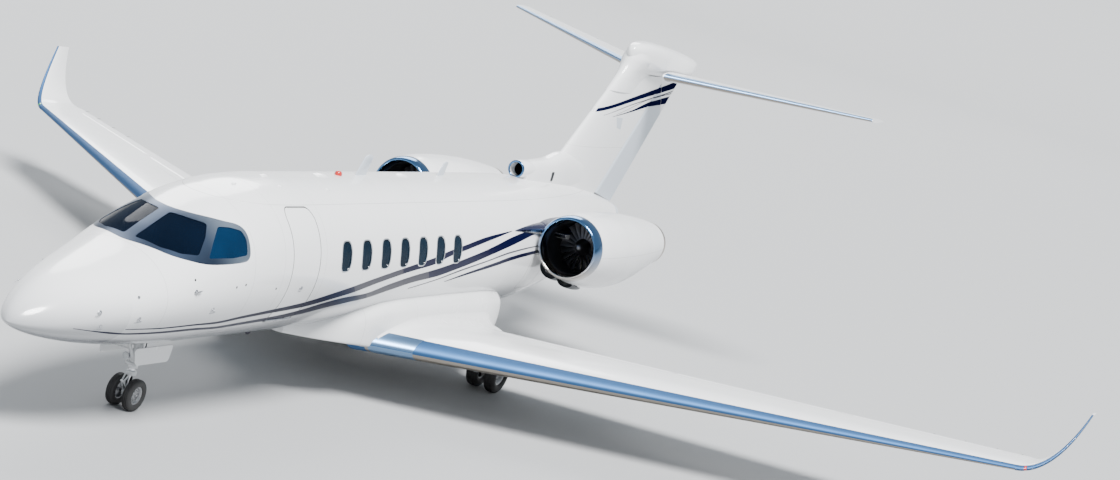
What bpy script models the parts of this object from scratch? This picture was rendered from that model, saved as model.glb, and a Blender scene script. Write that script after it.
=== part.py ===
"""Twin-engined business jet, parked on its landing gear.

Metres, +Z up, the ground at z = 0. The nose points to -Y and the port wing to +X.
Places along the aircraft are stations: metres aft of the tip of the nose.
"""
import math

import bmesh
import bpy
import numpy as np
from mathutils import Matrix, Vector

for old in list(bpy.data.objects):
    bpy.data.objects.remove(old)

# Driving dimensions
MIDDLE_STATION = 11.124
FUSELAGE_RADIUS = 1.124
AXIS_HEIGHT = 2.12
NOSE_HEIGHT = 1.40
GAP = 0.0003
CABIN_WALL = 0.090
TAIL_WALL = 0.030
RADOME_END = 1.45
CABIN_START = 5.85
TAIL_START = 12.20
TAIL_END = 19.30
NOSE_TAPER = 5.0
KEEL_TAPER = 3.2
FLOOR_HEIGHT = 1.34
WINDOW_FIRST = 6.24
WINDOW_PITCH = 0.630
WINDOW_COUNT = 7
WINDOW_HEIGHT = 2.37
WINDOW_SIZE = (0.31, 0.43)
DOOR_STATIONS = (4.68, 5.43)
DOOR_HEIGHTS = (1.42, 2.99)
DOOR_TURN = 135.0
AROUND = 24
ROD_SIDES = 8
FLAT_ANGLE = 0.05

# The profile of the body seen from the side and from above: (station, height or half width)
CROWN = [(0, 1.40), (0.03, 1.475), (0.12, 1.575), (0.3, 1.70), (0.6, 1.86), (1.0, 2.03), (1.5, 2.20),
         (2.0, 2.37), (2.5, 2.60), (3.08, 2.85), (3.8, 3.09), (4.6, 3.215), (5.4, 3.244), (12.3, 3.244),
         (13.5, 3.24), (15.0, 3.20), (16.5, 3.11), (17.7, 2.97), (18.6, 2.82), (19.3, 2.68)]
WIDEST = [(0, 1.40), (0.5, 1.47), (1.0, 1.56), (2.0, 1.76), (3.0, 1.95), (4.0, 2.08), (4.8, 2.12),
          (13.0, 2.12), (15.0, 2.17), (17.0, 2.32), (19.3, 2.50)]
TAIL_KEEL = [(12.3, 0.996), (13.5, 1.01), (15.0, 1.17), (16.5, 1.52), (17.7, 1.88), (18.6, 2.15),
             (19.3, 2.32)]
TAIL_WIDTH = [(12.3, 1.124), (13.2, 1.10), (14.0, 1.04), (15.0, 0.93), (16.0, 0.79), (17.0, 0.62),
              (18.0, 0.43), (18.7, 0.30), (19.3, 0.20)]

MODEL = bpy.data.collections.new("business_jet")
GUIDES = bpy.data.collections.new("cutters")
bpy.context.scene.collection.children.link(MODEL)
bpy.context.scene.collection.children.link(GUIDES)


def finish(name, colour, roughness, metallic=0.0):
    """A plain painted or bare finish."""
    material = bpy.data.materials.new(name)
    material.use_nodes = True
    shader = material.node_tree.nodes["Principled BSDF"]
    shader.inputs["Base Color"].default_value = (*colour, 1.0)
    shader.inputs["Roughness"].default_value = roughness
    shader.inputs["Metallic"].default_value = metallic
    return material


WHITE = (0.80, 0.81, 0.82)
STEEL = (0.55, 0.56, 0.58)
POLISHED = (0.75, 0.77, 0.80)
GLASS = (0.02, 0.03, 0.05)
RUBBER = (0.015, 0.015, 0.016)
DARK_METAL = (0.16, 0.17, 0.19)
LEG_PAINT = (0.78, 0.79, 0.80)


def smooth_line(points):
    """A smooth curve through the points that never swings past them."""
    places = [float(point[0]) for point in points]
    values = [float(point[1]) for point in points]
    steps = [b - a for a, b in zip(places, places[1:])]
    rises = [(b - a) / step for a, b, step in zip(values, values[1:], steps)]
    slopes = [rises[0]]
    for i in range(1, len(rises)):
        if rises[i - 1] * rises[i] <= 0:
            slopes.append(0.0)
            continue
        near = 2 * steps[i] + steps[i - 1]
        far = steps[i] + 2 * steps[i - 1]
        slopes.append((near + far) / (near / rises[i - 1] + far / rises[i]))
    slopes.append(rises[-1])

    def value(place):
        i = min(max(sum(1 for p in places if p < place) - 1, 0), len(steps) - 1)
        t = (place - places[i]) / steps[i]
        start = (1 + 2 * t) * (1 - t) ** 2 * values[i] + t * (1 - t) ** 2 * steps[i] * slopes[i]
        end = t * t * (3 - 2 * t) * values[i + 1] + t * t * (t - 1) * steps[i] * slopes[i + 1]
        return start + end
    return value


crown = smooth_line(CROWN)
widest = smooth_line(WIDEST)
tail_keel = smooth_line(TAIL_KEEL)
tail_width = smooth_line(TAIL_WIDTH)
KEEL = AXIS_HEIGHT - FUSELAGE_RADIUS


def half_width(station):
    """Half the width of the body: a blunt taper at the nose, a long one at the tail."""
    if station < NOSE_TAPER:
        return FUSELAGE_RADIUS * (1 - (1 - station / NOSE_TAPER) ** 2.2) ** 0.6
    return FUSELAGE_RADIUS if station < 12.3 else tail_width(station)


def keel(station):
    """Height of the underside of the body."""
    if station < KEEL_TAPER:
        return NOSE_HEIGHT - (NOSE_HEIGHT - KEEL) * (1 - (1 - station / KEEL_TAPER) ** 2) ** 0.6
    return KEEL if station < 12.3 else tail_keel(station)


def at(x, station, z):
    """A point of the aircraft from its place across, its station and its height."""
    return Vector((x, station - MIDDLE_STATION, z))


def skin(station, degrees, inset=0.0):
    """A point of the body's surface: the angle runs from the crown down the port side."""
    turn = math.radians(degrees)
    middle = widest(station)
    reach = crown(station) - middle if math.cos(turn) >= 0 else middle - keel(station)
    width = max(half_width(station) - inset, 0.001)
    return at(width * math.sin(turn), station, middle + max(reach - inset, 0.001) * math.cos(turn))


def body_ring(station, inset=0.0):
    """One cross-section of the body."""
    return [skin(station, 360.0 * i / AROUND, inset) for i in range(AROUND)]


def add_object(name, points, faces, material=None, collection=MODEL):
    """A mesh object whose faces all point outwards."""
    mesh = bpy.data.meshes.new(name)
    work = bmesh.new()
    corners = [work.verts.new(point) for point in points]
    for face in faces:
        work.faces.new([corners[i] for i in face])
    bmesh.ops.recalc_face_normals(work, faces=work.faces)
    bmesh.ops.triangulate(work, faces=work.faces)
    work.to_mesh(mesh)
    work.free()
    mesh.shade_smooth()
    mesh.set_sharp_from_angle(angle=math.radians(35))
    obj = bpy.data.objects.new(name, mesh)
    collection.objects.link(obj)
    if material:
        mesh.materials.append(material)
    else:
        obj.hide_render = True
        obj.display_type = "WIRE"
    return obj


def guide(name, points, faces):
    """A cutter or another shape that only helps to make a part."""
    return add_object(name, points, faces, None, GUIDES)


def loft_data(rings, closed=True, caps=True):
    """Points and faces of a skin stretched over rings that have the same number of points."""
    count = len(rings[0])
    points = [point for ring in rings for point in ring]
    faces = []
    for r in range(len(rings) - 1):
        for i in range(count if closed else count - 1):
            j = (i + 1) % count
            faces.append((r * count + i, r * count + j, (r + 1) * count + j, (r + 1) * count + i))
    if caps:
        faces.append(tuple(range(count)))
        faces.append(tuple((len(rings) - 1) * count + i for i in range(count)))
    return points, faces


def loft(name, rings, material=None, caps=True):
    """A closed solid, or an open tube, through rings of points."""
    points, faces = loft_data(rings, caps=caps)
    return add_object(name, points, faces, material, MODEL if material else GUIDES)


def prism(name, outline, shift, material=None):
    """A flat or nearly flat outline drawn out along a vector."""
    return loft(name, [outline, [point + shift for point in outline]], material)


def box_data(low, high):
    """The eight corners and six faces of a box."""
    ends = list(zip(low, high))
    points = [Vector((x, y, z)) for x in ends[0] for y in ends[1] for z in ends[2]]
    faces = [(0, 1, 3, 2), (4, 5, 7, 6), (0, 1, 5, 4), (2, 3, 7, 6), (0, 2, 6, 4), (1, 3, 7, 5)]
    return points, faces


def box(name, x, stations, z, material=None):
    """A box from its ranges across, along and up."""
    low = at(x[0], stations[0], z[0])
    high = at(x[1], stations[1], z[1])
    points, faces = box_data(low, high)
    return add_object(name, points, faces, material, MODEL if material else GUIDES)


def rod(name, start, end, radius, material=None, sides=ROD_SIDES, rolled=0.0):
    """A round bar between two points, rolled about its axis."""
    span = end - start
    work = bmesh.new()
    bmesh.ops.create_cone(work, cap_ends=True, segments=sides, radius1=radius, radius2=radius,
                          depth=span.length)
    turn = span.to_track_quat("Z", "Y").to_matrix().to_4x4() @ Matrix.Rotation(rolled, 4, "Z")
    bmesh.ops.transform(work, matrix=Matrix.Translation((start + end) / 2) @ turn, verts=work.verts)
    mesh = bpy.data.meshes.new(name)
    work.to_mesh(mesh)
    work.free()
    mesh.shade_smooth()
    mesh.set_sharp_from_angle(angle=math.radians(40))
    obj = bpy.data.objects.new(name, mesh)
    (MODEL if material else GUIDES).objects.link(obj)
    if material:
        mesh.materials.append(material)
    else:
        obj.hide_render = True
        obj.display_type = "WIRE"
    return obj


def combine(part, operation, tool):
    """Cut the tool from the part, join it on, or keep only what both share."""
    modifier = part.modifiers.new(operation.lower() + "_" + tool.name[:40], "BOOLEAN")
    modifier.operation = operation
    modifier.solver = "EXACT"
    modifier.object = tool


def cut(part, *tools):
    for tool in tools:
        combine(part, "DIFFERENCE", tool)


def join(part, *tools):
    for tool in tools:
        combine(part, "UNION", tool)


def keep_inside(part, tool):
    combine(part, "INTERSECT", tool)


# Wing-like surfaces

def half_thickness(fraction):
    """Half the depth of a rounded wing section of unit thickness, at a fraction of its chord."""
    f = max(fraction, 0.0)
    return 5 * (0.2969 * math.sqrt(f) - 0.1260 * f - 0.3516 * f ** 2 + 0.2843 * f ** 3 - 0.1030 * f ** 4)


class Panel:
    """A straight-edged surface between two sections: (span, leading, trailing, height, drop)."""

    def __init__(self, root, tip, thickness, camber, place):
        self.root = root
        self.tip = tip
        self.depth = (thickness[0] * (root[2] - root[1]), thickness[1] * (tip[2] - tip[1]))
        self.camber = camber
        self.place = place

    def blend(self, span, index):
        t = (span - self.root[0]) / (self.tip[0] - self.root[0])
        return self.root[index] + t * (self.tip[index] - self.root[index])

    def chordwise(self, span, fraction):
        leading = self.blend(span, 1)
        return leading + fraction * (self.blend(span, 2) - leading)

    def fraction(self, span, chordwise):
        leading = self.blend(span, 1)
        return (chordwise - leading) / (self.blend(span, 2) - leading)

    def offset(self, span, fraction, side):
        """Distance of the skin (side 1 or -1) or of the middle (side 0) from the span's plane."""
        chord = self.blend(span, 2) - self.blend(span, 1)
        t = (span - self.root[0]) / (self.tip[0] - self.root[0])
        depth = self.depth[0] + t * (self.depth[1] - self.depth[0])
        bow = chord * 4 * self.camber * fraction * (1 - fraction)
        base = self.blend(span, 3) + fraction * self.blend(span, 4)
        return base + bow + side * depth * half_thickness(fraction)

    def point(self, span, fraction, side):
        return self.place(span, self.chordwise(span, fraction), self.offset(span, fraction, side))

    def section(self, span, start, stop, steps):
        """A closed section from one chord fraction to another, over the top and back below."""
        if start == 0.0:
            marks = [(1 - math.cos(math.pi * i / (2 * steps))) * stop for i in range(steps + 1)]
            under = [self.point(span, f, -1) for f in reversed(marks[1:])]
            return [self.point(span, f, 1) for f in marks] + under
        marks = [start + (stop - start) * i / steps for i in range(steps + 1)]
        over = [self.point(span, f, 1) for f in marks]
        return over + [self.point(span, f, -1) for f in reversed(marks)]


def slab(name, panel, spans, start, stop, steps, material=None):
    """The part of a panel between two or more spans and two chord fractions."""
    return loft(name, [panel.section(span, start, stop, steps) for span in spans], material)


class Hinge:
    """The line that a control surface turns about, at a fraction of its panel's chord."""

    def __init__(self, panel, fraction, span_a, span_b):
        self.panel = panel
        self.a = np.array([span_a, panel.chordwise(span_a, fraction)])
        self.b = np.array([span_b, panel.chordwise(span_b, fraction)])
        self.length = float(np.linalg.norm(self.b - self.a))
        self.along = (self.b - self.a) / self.length
        self.aft = np.array([-self.along[1], self.along[0]])
        self.height_a = panel.offset(span_a, fraction, 0)
        self.height_b = panel.offset(span_b, fraction, 0)

    def flat(self, run, back):
        """Span and chordwise place of a point run along the hinge and back from it."""
        spot = self.a + self.along * run + self.aft * back
        return float(spot[0]), float(spot[1])

    def radius(self, run):
        span, chordwise = self.flat(run, 0)
        fraction = self.panel.fraction(span, chordwise)
        return (self.panel.offset(span, fraction, 1) - self.panel.offset(span, fraction, -1)) / 2

    def height(self, run):
        return self.height_a + (self.height_b - self.height_a) * run / self.length

    def chord(self, run):
        """Distance from the hinge back to the trailing edge."""
        panel = self.panel
        slope = (panel.tip[2] - panel.root[2]) / (panel.tip[0] - panel.root[0])
        span, chordwise = self.flat(run, 0)
        edge = panel.root[2] + slope * (span - panel.root[0])
        return (edge - chordwise) / (self.aft[1] - slope * self.aft[0])

    def centre(self, run, drop=0.0):
        span, chordwise = self.flat(run, 0)
        return self.panel.place(span, chordwise, self.height(run) - drop)

    def section(self, run, steps=3, corners=4):
        """A section of the surface: a round nose about the hinge, then the skins to the edge."""
        nose = self.radius(run) - 0.002
        chord = self.chord(run) - 0.004
        middle = self.height(run)
        ring = []
        for i in range(1, corners):
            turn = math.pi * i / corners
            span, chordwise = self.flat(run, -nose * math.sin(turn))
            ring.append(self.panel.place(span, chordwise, middle - nose * math.cos(turn)))
        marks = [chord * i / steps for i in range(steps + 1)]
        upper = []
        lower = []
        for back in marks:
            span, chordwise = self.flat(run, back)
            fraction = min(self.panel.fraction(span, chordwise), 0.998)
            upper.append(self.panel.place(span, chordwise, self.panel.offset(span, fraction, 1)))
            lower.append(self.panel.place(span, chordwise, self.panel.offset(span, fraction, -1)))
        return ring + upper + lower[::-1]

    def well(self, name, run_a, run_b, gap, reach=3.0):
        """The cutter for the opening in the fixed surface, ahead of and beside the moving one."""
        corners = []
        for run, side in ((run_a, -1), (run_b, 1)):
            front = -(self.radius(run) + gap)
            corners.append([self.flat(run + side * gap, back) for back in (front, reach)])
        order = [corners[0][0], corners[0][1], corners[1][1], corners[1][0]]
        low = [self.panel.place(span, chordwise, self.height(run_a) - 1.5) for span, chordwise in order]
        high = [self.panel.place(span, chordwise, self.height(run_a) + 1.5) for span, chordwise in order]
        return loft(name, [low, high])


SIDES = (("port", 1.0), ("starboard", -1.0))

# Body shells

NOSE_STATIONS = [0.004, 0.04, 0.14, 0.34, 0.65, 1.05, RADOME_END - GAP]
FORWARD_STATIONS = [RADOME_END, 1.95, 2.50, 3.05, 3.75, 4.55, CABIN_START - GAP]
CABIN_STATIONS = [CABIN_START, TAIL_START - GAP]
TAIL_STATIONS = [TAIL_START, 13.2, 14.2, 15.3, 16.4, 17.5, 18.5, TAIL_END]


def ring_solid(name, rings, material=None):
    """A closed loop of rings: out along one surface and back along the other."""
    around = len(rings[0])
    points, faces = loft_data(rings + [rings[0]], caps=False)
    count = around * len(rings)
    faces = [tuple(i % count for i in face) for face in faces]
    return add_object(name, points[:count], faces, material, MODEL if material else GUIDES)


def shell(name, stations, outer, inner, material=None):
    """A length of the body's wall between two insets from its surface."""
    out = [body_ring(s, outer) for s in stations]
    back = [body_ring(s, inner) for s in reversed(stations)]
    return ring_solid(name, out + back, material)


def envelope(name, stations, inset):
    """The body as a solid, for cutting what lies against it."""
    return loft(name, [body_ring(s, inset) for s in stations])


CABIN_MARKS = FORWARD_STATIONS[:-1] + [CABIN_START, TAIL_START]
BODY_OUTSIDE = envelope("guide_body_outside", CABIN_MARKS + TAIL_STATIONS[1:], -GAP)
CABIN_INSIDE = envelope("guide_cabin_inside", CABIN_MARKS, CABIN_WALL + GAP)


def grown(points, amount):
    """An outline made slightly larger about its middle."""
    middle = sum(points, Vector()) / len(points)
    size = min((point - middle).length for point in points)
    return [middle + (point - middle) * (1 + amount / size) for point in points]


MAIN_PANE = [(2.17, 5.0), (2.86, 4.5), (3.10, 29.5), (2.63, 50.0), (2.33, 30.0)]
SIDE_PANE = [(3.22, 36.0), (3.58, 46.5), (3.55, 65.0), (2.83, 56.5)]
FRAME_HALF = [(2.05, 0.0), (2.10, 15.0), (2.25, 36.0), (2.64, 56.0), (2.78, 61.0), (3.63, 69.0),
              (3.68, 44.5), (3.34, 30.5), (3.09, 18.0), (2.97, 0.0)]
PANE_INSET = 0.002
PANE_DEPTH = 0.030
PANE_CUTTER = 0.16
FRAME_DEPTH = 0.055
FRAME_COLUMN = (2.02, 1.3)
FRAME_STATIONS = FORWARD_STATIONS[1:5]


def pane_prism(name, corners, sign, grow):
    """The column that cuts one cockpit pane, square to its middle."""
    points = grown([skin(s, sign * degrees) for s, degrees in corners], grow)
    normal = (points[2] - points[0]).cross(points[3] - points[1]).normalized()
    middle = sum(points, Vector()) / len(points)
    if normal.dot(middle - at(0, 3.2, AXIS_HEIGHT - 0.5)) < 0:
        normal = -normal
    return prism(name, [point - normal * PANE_CUTTER for point in points], normal * (2 * PANE_CUTTER))


def frame_prism(name, margin):
    """The upright column that cuts the surround of the cockpit windows."""
    half = [skin(s, degrees) for s, degrees in FRAME_HALF]
    other = [Vector((-point.x, point.y, point.z)) for point in reversed(half[1:-1])]
    points = half + other
    low = []
    for i, point in enumerate(points):
        before = (point - points[i - 1]).to_2d().normalized()
        after = (points[(i + 1) % len(points)] - point).to_2d().normalized()
        outward = Vector((before.y + after.y, -(before.x + after.x)))
        outward /= outward.length * math.cos(before.angle(after) / 2)
        low.append(Vector((point.x + margin * outward.x, point.y + margin * outward.y, FRAME_COLUMN[0])))
    return prism(name, low, Vector((0, 0, FRAME_COLUMN[1])))


def build_nose():
    return loft("nose_radome", [body_ring(s) for s in NOSE_STATIONS], finish("radome_paint", WHITE, 0.22))


DOOR_CORNER = 0.14


def door_outline(margin):
    """The airstair door's outline, with round corners, as (station, height)."""
    corner = DOOR_CORNER
    low_s, high_s = DOOR_STATIONS[0] - margin, DOOR_STATIONS[1] + margin
    low_z, high_z = DOOR_HEIGHTS[0] - margin, DOOR_HEIGHTS[1] + margin
    spots = []
    for s, z, start in ((high_s - corner, high_z - corner, 0), (low_s + corner, high_z - corner, 90),
                        (low_s + corner, low_z + corner, 180), (high_s - corner, low_z + corner, 270)):
        for step in range(4):
            turn = math.radians(start + 30 * step)
            spots.append((s + corner * math.cos(turn), z + corner * math.sin(turn)))
    return spots


DOOR_AXIS = (0.890, 1.430)
DOOR_GAP = 0.006
DOOR_PIN = (0.010, 0.05)
KNUCKLE_RADIUS = 0.022
LUG_RADIUS = 0.030
LUG_LENGTH = 0.05
LUG_STARTS = (("front", DOOR_STATIONS[0] - 0.065), ("rear", DOOR_STATIONS[1] + 0.015))
NOSE_BAY = ((-0.24, 0.24), (2.55, 3.62), (0.7, 1.25))


def door_line(low, high, across=0.0, up=0.0):
    """The two ends of a length of the airstair's hinge line, or of a line beside it."""
    x, z = DOOR_AXIS
    return at(x + across, low, z + up), at(x + across, high, z + up)


def door_prism(name, margin):
    return prism(name, [at(0.30, s, z) for s, z in door_outline(margin)], Vector((1.0, 0, 0)))


def pin(name, start, end, radius, clearance=0.0):
    """A hinge pin, or with a clearance the hole that it turns in: corners against flats at rest."""
    if clearance == 0.0:
        return rod(name, start, end, radius)
    half_step = math.pi / ROD_SIDES
    return rod(name, start, end, (radius + clearance) / math.cos(half_step), rolled=half_step)


def build_forward():
    paint = finish("body_paint_forward", WHITE, 0.20)
    body = shell("forward_fuselage", FORWARD_STATIONS, 0.0, CABIN_WALL, paint)
    cut(body, frame_prism("cutter_frame", 2 * GAP), door_prism("cutter_doorway", DOOR_GAP))
    for tag, start in LUG_STARTS:
        ends = door_line(start, start + LUG_LENGTH, -0.012, 0.006)
        join(body, rod("guide_hinge_lug_" + tag, *ends, LUG_RADIUS))
    low, high = DOOR_STATIONS
    radius, reach = DOOR_PIN
    cut(body, rod("cutter_hinge_groove", *door_line(low - 2 * DOOR_GAP, high + 2 * DOOR_GAP), LUG_RADIUS))
    cut(body, pin("cutter_door_pin", *door_line(low - reach, high + reach), radius, GAP))
    cut(body, box("cutter_nose_bay", *NOSE_BAY))

    polish = finish("polished_frame", POLISHED, 0.12, 1.0)
    frame = shell("windshield_frame", FRAME_STATIONS, 0.0, FRAME_DEPTH, polish)
    keep_inside(frame, frame_prism("guide_frame", 0.0))
    for side, sign in SIDES:
        for label, corners in (("windshield", MAIN_PANE), ("side_window", SIDE_PANE)):
            cut(frame, pane_prism("cutter_%s_%s" % (label, side), corners, sign, 2 * GAP))
            pane = shell("%s_%s" % (label, side), FRAME_STATIONS, PANE_INSET, PANE_DEPTH,
                         finish("%s_glass_%s" % (label, side), GLASS, 0.04))
            keep_inside(pane, pane_prism("guide_%s_%s" % (label, side), corners, sign, 0.0))


STEP_COUNT = 4
STEP_FIRST = 1.62
STEP_RISE = 0.30
STEP_DEPTH = 0.20
STEP_THICKNESS = 0.028
STEP_MARGIN = 0.10


def build_door():
    """The airstair: a piece of the wall on a low hinge, with treads that are level when it is down."""
    door = shell("airstair_door", FORWARD_STATIONS[5:], 0.0, CABIN_WALL, finish("door_paint", WHITE, 0.20))
    keep_inside(door, door_prism("guide_door", 0.0))
    low, high = DOOR_STATIONS
    radius, reach = DOOR_PIN
    join(door, rod("guide_door_knuckle", *door_line(low + 0.02, high - 0.02), KNUCKLE_RADIUS))
    join(door, rod("guide_door_pin", *door_line(low - reach, high + reach), radius))
    turn = math.radians(DOOR_TURN)
    depth = Vector((math.cos(turn), 0, math.sin(turn))) * STEP_DEPTH
    half = Vector((-depth.z, 0, depth.x)).normalized() * (STEP_THICKNESS / 2)
    for i in range(STEP_COUNT):
        height = STEP_FIRST + STEP_RISE * i
        inside = math.sqrt(FUSELAGE_RADIUS ** 2 - (height - AXIS_HEIGHT) ** 2) - 0.05
        start = Vector((inside, low + STEP_MARGIN - MIDDLE_STATION, height))
        outline = [start - half, start + depth - half, start + depth + half, start + half]
        join(door, prism("guide_step_%d" % i, outline, Vector((0, high - low - 2 * STEP_MARGIN, 0))))
    return door


WINDOW_SHAPE = 0.62


def window_outline(index, margin, sides=12):
    """A tall rounded window, as places on the cabin's side."""
    centre = WINDOW_FIRST + WINDOW_PITCH * index
    spots = []
    for i in range(sides):
        turn = 2 * math.pi * (i + 0.5) / sides
        c, s = math.cos(turn), math.sin(turn)
        across = math.copysign(abs(c) ** WINDOW_SHAPE, c) * (WINDOW_SIZE[0] / 2 + margin)
        up = math.copysign(abs(s) ** WINDOW_SHAPE, s) * (WINDOW_SIZE[1] / 2 + margin)
        spots.append((centre + across, WINDOW_HEIGHT + up))
    return spots


def windows_prism(name, sign, margin):
    """All the windows of one side as separate columns in one cutter."""
    points = []
    faces = []
    for index in range(WINDOW_COUNT):
        outline = window_outline(index, margin)
        data, sides = loft_data([[at(sign * 0.80, s, z) for s, z in outline],
                                 [at(sign * 1.40, s, z) for s, z in outline]])
        faces += [tuple(i + len(points) for i in face) for face in sides]
        points += data
    return guide(name, points, faces)


# Blade antennas on the crown: (front station, rear station, height)
ANTENNAS = [(8.02, 8.36, 0.30), (10.88, 11.16, 0.22)]
ANTENNA_HALF = 0.012
PANE_FACE = 0.004
STRIP_DEPTH = 0.008
STRIP_MARGIN = (0.24, 0.29)


def build_cabin():
    body = shell("cabin_fuselage", CABIN_STATIONS, 0.0, CABIN_WALL, finish("body_paint_cabin", WHITE, 0.20))
    for number, (start, end, height) in enumerate(ANTENNAS):
        top = crown(start)
        corners = [(start, -0.03), (end, -0.03), (end + 0.05, height), (start + 0.16, height)]
        outline = [at(-ANTENNA_HALF, s, top + up) for s, up in corners]
        join(body, prism("guide_antenna_%d" % number, outline, Vector((2 * ANTENNA_HALF, 0, 0))))
    for side, sign in SIDES:
        cut(body, windows_prism("cutter_windows_" + side, sign, GAP))
        panes = shell("guide_panes_" + side, CABIN_STATIONS, PANE_FACE, CABIN_WALL + STRIP_DEPTH / 2)
        keep_inside(panes, windows_prism("guide_window_" + side, sign, 0.0))
        strip = shell("cabin_windows_" + side, CABIN_STATIONS, CABIN_WALL + GAP, CABIN_WALL + STRIP_DEPTH,
                      finish("cabin_glass_" + side, GLASS, 0.05))
        last = WINDOW_FIRST + WINDOW_PITCH * (WINDOW_COUNT - 1)
        ahead, above = STRIP_MARGIN
        zone = box("guide_strip_" + side, sorted((sign * 0.6, sign * 1.3)),
                   (WINDOW_FIRST - ahead, last + ahead), (WINDOW_HEIGHT - above, WINDOW_HEIGHT + above))
        keep_inside(strip, zone)
        join(strip, panes)


# Seats: (station, place across, 1 if it faces forward); the outline is (back, up) from its foot
SEATS = [(6.75, 0.62, 1), (6.75, -0.62, 1), (7.95, 0.62, -1), (7.95, -0.62, -1),
         (9.25, 0.62, 1), (9.25, -0.62, 1), (10.45, 0.62, -1), (10.45, -0.62, -1)]
SEAT_OUTLINE = [(-0.18, -0.02), (-0.28, 0.24), (-0.28, 0.40), (0.14, 0.38), (0.24, 1.04), (0.36, 1.04),
                (0.28, 0.22), (0.16, -0.02)]
PILOT_SEATS = [(3.75, 0.42, 1), (3.75, -0.42, 1)]
SEAT_WIDTH = 0.50
FLOOR_DEPTH = 0.06
FLOOR_STATIONS = (2.45, 12.10)
PARTITIONS = (("front", (4.50, 4.54), 0.27), ("rear", (5.62, 5.66), 0.30))
BULKHEAD = (12.05, 12.10)
PANEL = ((-0.85, 0.85), (2.60, 2.78), 2.24)
PEDESTAL = ((-0.13, 0.13), (2.70, 3.62), 1.90)
WIDE = (-1.2, 1.2)


def build_interior():
    """Floor, partitions and seats, all standing on the floor as one piece."""
    floor = box("cabin_interior", WIDE, FLOOR_STATIONS, (FLOOR_HEIGHT - FLOOR_DEPTH, FLOOR_HEIGHT),
                finish("interior_trim", (0.55, 0.50, 0.44), 0.7))
    for index, (s, x, facing) in enumerate(SEATS + PILOT_SEATS):
        outline = [at(x - SEAT_WIDTH / 2, s + facing * back, FLOOR_HEIGHT + up) for back, up in SEAT_OUTLINE]
        join(floor, prism("guide_seat_%d" % index, outline, Vector((SEAT_WIDTH, 0, 0))))
    foot = FLOOR_HEIGHT - FLOOR_DEPTH / 3
    for name, stations, gap in PARTITIONS:
        for side, sign in SIDES:
            across = sorted((sign * gap, sign * WIDE[1]))
            join(floor, box("guide_partition_%s_%s" % (name, side), across, stations, (foot, 3.3)))
    join(floor, box("guide_bulkhead", WIDE, BULKHEAD, (0.8, 3.4)))
    join(floor, box("guide_panel", *PANEL[:2], (foot, PANEL[2])))
    join(floor, box("guide_pedestal", *PEDESTAL[:2], (foot, PEDESTAL[2])))
    keep_inside(floor, CABIN_INSIDE)
    return floor


def build_tail():
    return shell("aft_fuselage", TAIL_STATIONS, 0.0, TAIL_WALL, finish("body_paint_aft", WHITE, 0.20))


# Belly fairing: (station, half width, bottom, shoulder)
BELLY = [(6.30, 0.40, 0.975, 1.05), (6.9, 0.76, 0.93, 1.13), (7.5, 1.02, 0.88, 1.25),
         (8.1, 1.13, 0.80, 1.35), (8.8, 1.16, 0.72, 1.38), (10.0, 1.16, 0.66, 1.38),
         (11.7, 1.16, 0.67, 1.36), (12.4, 1.10, 0.74, 1.32), (13.0, 0.82, 0.86, 1.20),
         (13.6, 0.42, 0.97, 1.08)]


def belly_ring(station, width, bottom, shoulder):
    """A broad flat-sided section whose top is buried in the body."""
    rise = shoulder - bottom
    half = [(0.0, bottom), (0.60 * width, bottom + 0.01 * rise), (0.87 * width, bottom + 0.05 * rise),
            (0.97 * width, bottom + 0.11 * rise), (width, bottom + 0.20 * rise), (width, shoulder),
            (0.93 * width, shoulder + 0.14), (0.80 * width, shoulder + 0.24),
            (0.55 * width, shoulder + 0.26), (0.0, shoulder + 0.26)]
    port = [at(x, station, z) for x, z in half]
    starboard = [at(-x, station, z) for x, z in reversed(half[1:-1])]
    return port + starboard


def build_belly():
    belly = loft("belly_fairing", [belly_ring(*row) for row in BELLY], finish("fairing_paint", WHITE, 0.25))
    cut(belly, BODY_OUTSIDE)
    for side, sign in SIDES:
        margin = (0.0, -2 * GAP, 2 * GAP, 0.0, 0.0)
        root = tuple(a + b for a, b in zip(WING_ROOT, margin))
        end = tuple(a + b for a, b in zip(WING_END, margin))
        depth = [d + 2 * GAP / (row[2] - row[1]) for d, row in zip(WING_DEPTH, (WING_ROOT, WING_END))]
        around = Panel(root, end, depth, WING_CAMBER, lambda x, s, z, k=sign: at(k * x, s, z))
        lengths = (("front", 0.0, NOSE_FRACTION, NOSE_STEPS), ("rear", NOSE_FRACTION - GAP, 1.0, WING_STEPS))
        for tag, start, stop, steps in lengths:
            name = "cutter_wing_root_%s_%s" % (tag, side)
            cut(belly, slab(name, around, [WING_START - GAP, WING_END[0]], start, stop, steps))
    return belly


# Wing
WING_ROOT = (1.05, 7.815, 11.805, 0.935, 0.036)
WING_END = (9.75, 14.19, 15.55, 1.431, 0.036)
WING_START = 0.80
WING_DEPTH = (0.125, 0.10)
WING_CAMBER = 0.012
NOSE_FRACTION = 0.07
NOSE_STEPS = 4
WING_STEPS = 9
CLEAR = 0.010
PIN_RADIUS = 0.012
FLAPS = (("inboard", 2.15, 4.30), ("outboard", 4.40, 6.85))
FLAP_FRACTION = 0.73
AILERON_SPAN = (7.05, 9.35)
AILERON_FRACTION = 0.75
SPOILER_SPAN = (2.9, 6.3)
SPOILER_FRACTION = 0.555
SPOILER_CHORD = 0.27
SPOILER_DEPTH = 0.025
SPOILER_GAP = 0.008
SPOILER_PIN = 0.007


def wing_panel(sign):
    return Panel(WING_ROOT, WING_END, WING_DEPTH, WING_CAMBER, lambda x, s, z: at(sign * x, s, z))


def across_hinge(hinge, run, back, up):
    """A point near a hinge: along it, back from it and above its line."""
    span, chordwise = hinge.flat(run, back)
    return hinge.panel.place(span, chordwise, hinge.height(run) + up)


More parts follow.
